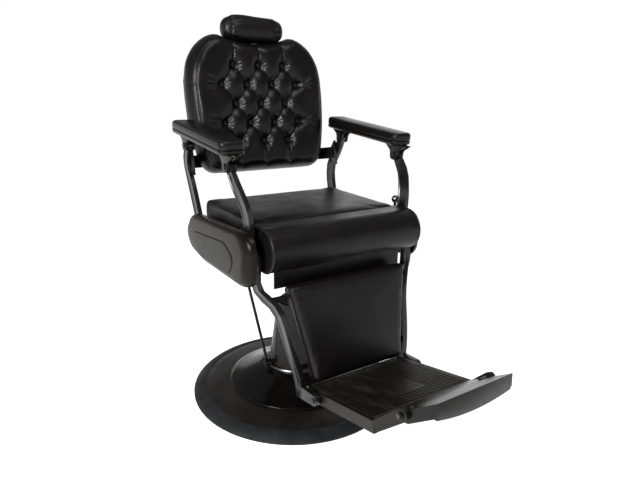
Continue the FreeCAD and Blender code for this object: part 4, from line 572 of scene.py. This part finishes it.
def cut_corners(points):
    """Chaikin's rounding of an open run, done three times: each side gives its quarter and three quarter
    points, and the ends are kept."""
    for _ in range(3):
        low = points[:-1] * 0.75 + points[1:] * 0.25
        high = points[:-1] * 0.25 + points[1:] * 0.75
        between = np.stack([low, high], 1).reshape(-1, points.shape[1])
        points = np.concatenate([points[:1], between, points[-1:]])
    return points


side_corners = [np.array(outline_widths) * back_half, np.array(outline_rises) * back_long]
side_run = cut_corners(np.stack(side_corners, -1))
top_x = np.linspace(side_run[-1, 0], -side_run[-1, 0], 90)
top_run = np.stack([top_x, back_long - scoop_at(top_x)], -1)
back_edge = np.concatenate([side_run, top_run[1:-1], side_run[::-1] * [-1, 1]])


def edge_distance(x, s, run):
    """The least distance from each point to a closed run, worked out a block of points at a time."""
    starts, ends = run, np.roll(run, -1, 0)
    way = ends - starts
    size = np.maximum((way ** 2).sum(1), 1e-9)
    best = np.empty(x.size)
    flat = np.stack([x.ravel(), s.ravel()], -1)
    for block in range(0, len(flat), 8192):
        part = flat[block:block + 8192, None] - starts[None]
        t = np.clip((part * way[None]).sum(-1) / size, 0, 1)
        best[block:block + 8192] = np.sqrt(((part - t[..., None] * way[None]) ** 2).sum(-1)).min(1)
    return best.reshape(x.shape)


def button_places():
    """Across and up places of the buttons: rows of three and four by turns."""
    rows = [(column, row) for row in range(5) for column in ((-3, -1, 1, 3) if row % 2 else (-2, 0, 2))]
    return np.array(rows)


def fold_lines():
    """Folds as column and row of the start and of the end, in lattice steps, then the depth at the start, at
    the middle and at the end as shares, and the half width in millimetres."""
    lines = []
    placed = {tuple(p) for p in button_places().tolist()}
    for column, row in sorted(placed):
        for step in (-1, 1):
            if (column + step, row + 1) in placed:
                lines.append((column, row, column + step, row + 1, 1.0, 0.82, 1.0, 38.0))
    for column in (-2, 0, 2):
        lines.append((column, 4, column * 0.97, 5.9, 1.0, 0.62, 0.45, 34.0))
        lines.append((column, 0, column * 0.98, -1.7, 1.0, 0.6, 0.4, 34.0))
    for side in (-1, 1):
        for row in (1, 3):
            for rise in (-0.3, 0.05, 0.4):
                lines.append((3 * side, row, 4.3 * side, row + rise, 0.5, 0.35, 0.0, 11.0))
    return lines


def tuft(x, s):
    """How deep the cover is drawn in at a place. Every fold lowers the pillows beside it by a share, and the
    shares multiply, so the pillows come out round. Every button adds a steep well with fine rays."""
    high = np.ones_like(x)
    pleats = np.zeros_like(x)
    for c0, r0, c1, r1, first, middle, last, half in fold_lines():
        start = np.array([c0 * button_pitch, first_row + r0 * row_pitch])
        way = np.array([c1 * button_pitch, first_row + r1 * row_pitch]) - start
        t_free = ((x - start[0]) * way[0] + (s - start[1]) * way[1]) / (way @ way)
        t = np.clip(t_free, 0, 1)
        away = np.hypot(x - start[0] - t_free * way[0], s - start[1] - t_free * way[1])
        beside = np.clip((0.66 - np.abs(t_free - 0.5)) / 0.16, 0, 1)
        near_first = np.clip(1 - t * 2, 0, 1) ** 1.5
        near_last = np.clip(t * 2 - 1, 0, 1) ** 1.5
        share = (middle + (first - middle) * near_first + (last - middle) * near_last) * beside
        high *= 1 - share * (1 - np.sin(np.minimum(away / half, 1) * math.pi / 2) ** 0.62)
        band = np.exp(-((away - 8) / 6) ** 2) * np.sin(t * math.pi) ** 0.5 * beside
        pleats += band * np.sin(t * 44 + 3 * np.sin(t * 9 + c0) + r0 * 2.1) * np.clip(share, 0.3, 1)
    fold_share, well_share, pleat_high, ray_high = 0.62, 0.4, 0.5, 1.0
    depth = fold_share * (1 - high)
    rays = np.zeros_like(x)
    for column, row in button_places():
        across, up = x - column * button_pitch, s - first_row - row * row_pitch
        away = np.hypot(across, up)
        turn = np.arctan2(up, across)
        depth += well_share * np.exp(-(away / 15) ** 1.7)
        rays += np.exp(-((away - 17) / 8) ** 2) * np.sin(turn * 11 + column * 0.9 + row * 1.7)
    return depth * tuft_depth - pleat_high * pleats - ray_high * rays


def back_surface():
    """The cushion: a grid over the front, drawn over a round edge to the board by the distance to the
    outline, less the tufting, and closed by a fan at the rear. Beside the tufting stands a bolster with two
    seams along its edge, one seam across it and slack waves."""
    across, up = 290, 230
    w = np.linspace(-1, 1, across)
    v = np.linspace(0, 1, up)
    spread_w = 0.42 * w + 0.58 * np.sin(w * math.pi / 2)
    spread_v = 0.62 * v + 0.38 * (0.5 - 0.5 * np.cos(v * math.pi))
    half = np.interp(spread_v * back_long, side_run[:, 1], side_run[:, 0])
    half[0], half[-1] = side_run[0, 0], side_run[-1, 0]
    x = half[:, None] * spread_w[None]
    lift = np.clip((spread_v - 0.6) / 0.4, 0, 1)[:, None]
    s = spread_v[:, None] * back_long - scoop_at(x) * lift ** 1.5
    d = edge_distance(x, s, back_edge)
    d[0], d[-1], d[:, 0], d[:, -1] = 0, 0, 0, 0
    edge_reach, bolster_high, bolster_x = 44.0, 3.5, 205
    roll_over = np.sqrt(1 - (1 - np.minimum(d / edge_reach, 1)) ** 2)
    bolster = bolster_high * np.exp(-((np.abs(x) - bolster_x) / 32) ** 2)
    y = back_rear - (back_rear + back_crest + bolster) * roll_over
    fade = np.clip((d - 4) / 34, 0, 1)
    y = y + tuft(x, s) * fade
    upright = np.clip((np.abs(x) - 165) / 30, 0, 1)
    for seam_deep, seam_in, seam_wide in ((2.4, 25, 2.0), (1.6, 9, 1.8)):
        y = y + seam_deep * np.exp(-((d - seam_in) / seam_wide) ** 2) * upright
    cross_deep, cross_s, slack_deep = 2.0, 288, 0.8
    y = y + cross_deep * np.exp(-((s - cross_s) / 2.2) ** 2) * upright * np.clip((27 - d) / 4, 0, 1)
    y = y + slack_deep * np.sin(s / 21 + x / 40) * upright * roll_over * np.clip((d - 27) / 6, 0, 1)
    grid = np.stack([x, y, s], -1)
    rim = np.concatenate([grid[0, :-1], grid[:-1, -1], grid[-1, :0:-1], grid[:0:-1, 0]])
    rim_at = np.concatenate([np.arange(across - 1), np.arange(up - 1) * across + across - 1,
                             (up - 1) * across + np.arange(across - 1, 0, -1),
                             np.arange(up - 1, 0, -1) * across])
    inner = rim * [0.9, 0, 0.9] + [0, back_rear, back_long * 0.04]
    points = np.concatenate([grid.reshape(-1, 3), inner, [[0, back_rear, back_long * 0.45]]])
    row, column = np.meshgrid(np.arange(up - 1), np.arange(across - 1), indexing="ij")
    here = row * across + column
    faces = np.stack([here, here + 1, here + across + 1, here + across], -1).reshape(-1, 4).tolist()
    count = len(rim_at)
    inner_at = across * up + np.arange(count)
    faces += np.stack([np.roll(rim_at, -1), rim_at, inner_at, np.roll(inner_at, -1)], -1).tolist()
    faces += np.stack([np.roll(inner_at, -1), inner_at, np.full(count, len(points) - 1)], -1).tolist()
    return leaned(points), faces


tuft_vinyl = leather("drawn_upholstery_vinyl", "#0a090a", "#131012", (0.3, 0.22))
back_points, back_faces = back_surface()
back = closed_mesh("tufted_back_cover", back_points, back_faces, tuft_vinyl)
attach(back, "back")
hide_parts("back_cushion")

# The buttons: tin shells covered in a smoother cut of vinyl, so a low dome with a rolled edge
button_radius, button_edge, button_dome, button_sunk = 9.0, 2.0, 3.4, 22.5
dome_turn = np.linspace(0, 1, 8)
button_radii = button_radius * np.concatenate([[0.55, 0.9, 1.0], np.cos(dome_turn * math.pi / 2)[1:-1]])
dome_rises = button_edge + button_dome * np.sin(dome_turn * math.pi / 2)[1:-1]
button_rises = np.concatenate([[0.0, 0.6, button_edge], dome_rises])
around = np.linspace(0, 2 * math.pi, 24, endpoint=False)
button_points, button_faces = [], []
for column, row in button_places():
    rings = np.stack([column * button_pitch + button_radii[:, None] * np.cos(around),
                      np.broadcast_to(-back_crest + button_sunk - button_rises[:, None], (9, 24)),
                      first_row + row * row_pitch + button_radii[:, None] * np.sin(around)], -1)
    points, faces = closed_rings(rings)
    button_faces += [[corner + len(button_points) for corner in face] for face in faces]
    button_points += leaned(points).tolist()
button_vinyl = leather("button_cover_vinyl", "#080708", "#100e0f", (0.34, 0.28), 1.6, 0.1)
buttons = closed_mesh("covered_buttons", button_points, button_faces, button_vinyl)
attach(buttons, "back")
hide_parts("back_buttons")


# Headrest: a stuffed roll sewn at its ends, on a steel plate hinged to a bar that slides in a socket.
dress(rough_enamel, "headrest_socket", "headrest_plate")
rest_half, rest_high, rest_deep = 113.5, 42.5, 40.0
rest_y, rest_s = 6, 476


def pillow_rings():
    """Sections along the pillow: soft squares, full for most of its length and drawn in at both ends."""
    t = np.linspace(-1, 1, 84)
    x = np.sin(t * math.pi / 2)
    size = np.maximum(1 - np.abs(x) ** 5.0, 0) ** 0.4 * 0.97 + 0.03
    turn = np.linspace(0, 2 * math.pi, 96, endpoint=False)
    squareness = 2.3
    reach = (np.abs(np.cos(turn)) ** squareness + np.abs(np.sin(turn)) ** squareness) ** (-1 / squareness)
    y = rest_y + rest_deep * size[:, None] * reach * np.cos(turn)
    s = rest_s + rest_high * size[:, None] * reach * np.sin(turn)
    s = s + 5.0 * np.exp(-((x[:, None] + 0.4) / 0.45) ** 2) * np.clip(np.sin(turn), 0, 1)
    return np.stack([np.broadcast_to(x[:, None] * rest_half, y.shape), y, s], -1)


pillow_points, pillow_faces = closed_rings(pillow_rings())
pillow = closed_mesh("headrest_cover", leaned(pillow_points), pillow_faces, vinyl)
stuffed(pillow, 5.0, 4.5)


def pillow_folds(points):
    """A crease round each end where the end panel is sewn in, short folds that fan out of it, and a dent by
    the one on the sitter's right."""
    x = points[:, 0]
    heart_s = 479
    across = points[:, 1] - lean_y - heart_s * math.sin(lean_turn)
    up = points[:, 2] - lean_z - heart_s * math.cos(lean_turn)
    turn = np.arctan2(up, across)
    seam_deep, fan_deep, dent_deep = 3.2, 1.4, 4.5
    seam = seam_deep * np.exp(-((np.abs(x) - 88) / 3.6) ** 2)
    fan = fan_deep * np.exp(-((np.abs(x) - 78) / 16) ** 2) * np.sin(turn * 9 + np.sign(x))
    dent = dent_deep * np.exp(-((x + 80) / 11) ** 2 - ((turn - 2.4) / 0.34) ** 2)
    return fan - seam - dent


press(pillow, pillow_folds)
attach(pillow, "headrest")
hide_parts("headrest_pillow")


# Legrest: two hooked cast arms joined by bars, with a board and a tapering foam pad in front of them.
dress(rib_enamel, "leg_arm_left", "leg_arm_right")
dress(rough_enamel, "leg_bars")
for node in ("leg_arm_left", "leg_arm_right"):
    soften(node, 1.4)
pad_top, pad_foot = np.array([-314.0, 518.0]), np.array([-384.0, 242.0])
pad_way = pad_top - pad_foot
pad_long = float(np.hypot(*pad_way))
pad_along = pad_way / pad_long
pad_corners = [(-155.0, -2.5), (155.0, -2.5), (205.0, pad_long - 1.5), (-205.0, pad_long - 1.5)]
pad_plan = rounded_outline(pad_corners, 15.0)
pad_points, pad_faces = closed_rings(pad_rings(pad_plan, 33.0, 13.0, 4.0, 6.5))


def on_legs(points):
    """From the leg pad's own frame, lying flat with its face up, to its place on the legrest."""
    x, s, up = np.asarray(points).T
    face_out = 34.0
    out = face_out - up
    y = pad_foot[0] + s * pad_along[0] + out * pad_along[1]
    z = pad_foot[1] + s * pad_along[1] - out * pad_along[0]
    return np.stack([x, y, z], -1)


leg_pad = closed_mesh("leg_pad_cover", on_legs(pad_points), pad_faces, vinyl)
stuffed(leg_pad, 3.0, 4.5)


def leg_folds(points):
    """A dimple in the upper corner on the sitter's right, pulls out of all corners, and a shallow groove
    along both sides."""
    x, y, z = points.T
    s = (y - pad_foot[0]) * pad_along[0] + (z - pad_foot[1]) * pad_along[1]
    half = 155 + 50 * s / pad_long
    corner = np.hypot(np.abs(x) - half, np.minimum(np.abs(s), np.abs(pad_long - s)))
    pull_deep, dimple_deep, groove_deep = 0.9, 3.4, 0.5
    pulls = pull_deep * np.exp(-corner / 34) * np.sin(corner / 5 + x / 17)
    dimple = dimple_deep * np.exp(-((x + half - 26) / 11) ** 2 - ((s - pad_long + 30) / 12) ** 2)
    groove = groove_deep * np.exp(-((half - np.abs(x) - 17) / 5.0) ** 2)
    return pulls - dimple - groove


press(leg_pad, leg_folds)
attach(leg_pad, "legrest")
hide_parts("leg_cushion")


# Footplate: a cast tray with ribs for grip between two rails, and a tipping toe board on two pins.
# Shoes have rubbed the tray, so a dusty brown shows through the enamel in scattered streaks.
tray, tray_tree, tray_inputs = finish("shoe_worn_enamel_on_cast_tray", 0.4, Specular_IOR_Level=0.24)
tray_scuffs = spread(tray_tree, cloud(tray_tree, 34.0, 8.0, (1, 0.25, 1)), 0.5, 0.74, 0.0, 0.6)
tray_dust = spread(tray_tree, cloud(tray_tree, 70.0, 6.0), 0.38, 0.7, 0.0, 1.0)
tray_base = blend_colour(tray_tree, tray_dust, "#0f0d0c", "#1a1614")
tray_tree.links.new(blend_colour(tray_tree, tray_scuffs, tray_base, "#3b332d"), tray_inputs["Base Color"])
tray_tree.links.new(spread(tray_tree, tray_scuffs, 0.0, 0.6, 0.42, 0.7), tray_inputs["Roughness"])
tray_grain = cloud(tray_tree, 4.0)
tray_skin = add(tray_tree, "ShaderNodeBump", Strength=0.4, Distance=0.0004, Height=tray_grain)[0]
tray_tree.links.new(tray_skin, tray_inputs["Normal"])
dress(tray, "footplate")
dress(satin_enamel, "toe_board")
soften("toe_board", 0.8)


# Room: a plain pale floor that turns up into a low wall all round, under a surround that is dim as a light
# but white to the eye, with a soft light from the sitter's right, a weaker one over the chair and a faint
# one behind. The floor glows as well, but only where it is looked at, so that it shows plain white.
floor_paint, floor_tree, floor_inputs = finish("rolled_matt_white_wall_paint", 0.9,
                                               Emission_Color=(1, 1, 1, 1))
floor_share = spread(floor_tree, cloud(floor_tree, 400.0), 0.3, 0.7, 0.0, 1.0)
floor_base = blend_colour(floor_tree, floor_share, "#eeeeee", "#f2f2f2")
floor_tree.links.new(floor_base, floor_inputs["Base Color"])
floor_glow, sky_light, sky_white = 0.78, 0.22, 1.0
seen = add(floor_tree, "ShaderNodeLightPath")
mirrored = add(floor_tree, "ShaderNodeMath", {"operation": "MAXIMUM"}, i0=seen["Is Camera Ray"],
               i1=seen["Is Glossy Ray"])[0]
shown = add(floor_tree, "ShaderNodeMath", {"operation": "MAXIMUM"}, i0=mirrored,
            i1=seen["Is Transmission Ray"])[0]
lifted = add(floor_tree, "ShaderNodeMath", {"operation": "MULTIPLY"}, i0=shown, i1=floor_glow)[0]
floor_tree.links.new(lifted, floor_inputs["Emission Strength"])
wall_turn = np.linspace(0, math.pi / 2, 9)
wall_reach = np.concatenate([np.linspace(0.5, 10.5, 8), 11 + np.sin(wall_turn), [12.0]])[:, None]
wall_rise = np.concatenate([np.zeros(8), 1 - np.cos(wall_turn), [3.2]])[:, None]
wall_sides = 96
wall_around = np.linspace(0, 2 * math.pi, wall_sides, endpoint=False)
wall_rings = np.stack([wall_reach * np.cos(wall_around), wall_reach * np.sin(wall_around),
                       np.broadcast_to(wall_rise, (len(wall_rise), wall_sides))], -1)
room_faces = [list(range(wall_sides - 1, -1, -1))] + ring_faces(len(wall_rise), wall_sides)
room_mesh = bpy.data.meshes.new("floor_and_wall")
room_mesh.from_pydata(wall_rings.reshape(-1, 3).tolist(), [], room_faces)
room_mesh.materials.append(floor_paint)
floor = bpy.data.objects.new("floor_and_wall", room_mesh)
bpy.context.scene.collection.objects.link(floor)

surround = bpy.data.worlds.new("dim_surround")
bpy.context.scene.world = surround
surround.use_nodes = True
sky_tree = surround.node_tree
sky_seen = add(sky_tree, "ShaderNodeLightPath")
sky_shown = add(sky_tree, "ShaderNodeMath", {"operation": "MAXIMUM"}, i0=sky_seen["Is Camera Ray"],
                i1=sky_seen["Is Transmission Ray"])[0]
sky_level = add(sky_tree, "ShaderNodeMix", i0=sky_shown, i2=sky_light, i3=sky_white)[0]
sky_tree.links.new(sky_level, sky_tree.nodes["Background"].inputs["Strength"])
sky_tree.nodes["Background"].inputs["Color"].default_value = (1, 1, 1, 1)


def soft_light(name, place, target, size, power):
    """A square area lamp at place that faces target."""
    lamp = bpy.data.lights.new(name, "AREA")
    lamp.size = size
    lamp.energy = power
    holder = bpy.data.objects.new(name, lamp)
    way = Vector(target) - Vector(place)
    holder.rotation_euler = way.to_track_quat("-Z", "Y").to_euler()
    holder.location = place
    bpy.context.scene.collection.objects.link(holder)


soft_light("wide_window", (-2.6, -1.25, 1.9), (0, 0, 0.7), 0.95, 92)
soft_light("ceiling_panel", (-0.2, -0.9, 3.0), (0, 0, 0.5), 1.2, 22)
soft_light("rear_fill", (2.2, 1.6, 1.6), (0, 0, 0.7), 1.8, 6)

# The camera, fitted to the photograph: it stands ahead of the chair on the sitter's right, looks down at
# the seat and is rolled a little anticlockwise
camera_place = (-0.8824, -1.4793, 1.0502)
azimuth, pitch, roll_angle = math.radians(-33.5), math.radians(16.6), math.radians(1.3)
eye = bpy.data.cameras.new("viewpoint")
eye.lens = 30.31
eye.sensor_width = 36.0
viewer = bpy.data.objects.new("viewpoint", eye)
forward = np.array([-math.sin(azimuth) * math.cos(pitch), math.cos(azimuth) * math.cos(pitch),
                    -math.sin(pitch)])
right = np.array([math.cos(azimuth), math.sin(azimuth), 0.0])
upward = np.cross(right, forward)
tilted_right = right * math.cos(roll_angle) + upward * math.sin(roll_angle)
tilted_up = upward * math.cos(roll_angle) - right * math.sin(roll_angle)
turn_matrix = np.eye(4)
turn_matrix[:3, 0], turn_matrix[:3, 1], turn_matrix[:3, 2] = tilted_right, tilted_up, -forward
turn_matrix[:3, 3] = camera_place
viewer.matrix_world = Matrix(turn_matrix.tolist())
bpy.context.scene.collection.objects.link(viewer)
bpy.context.scene.camera = viewer
bpy.context.scene.view_settings.view_transform = "Standard"
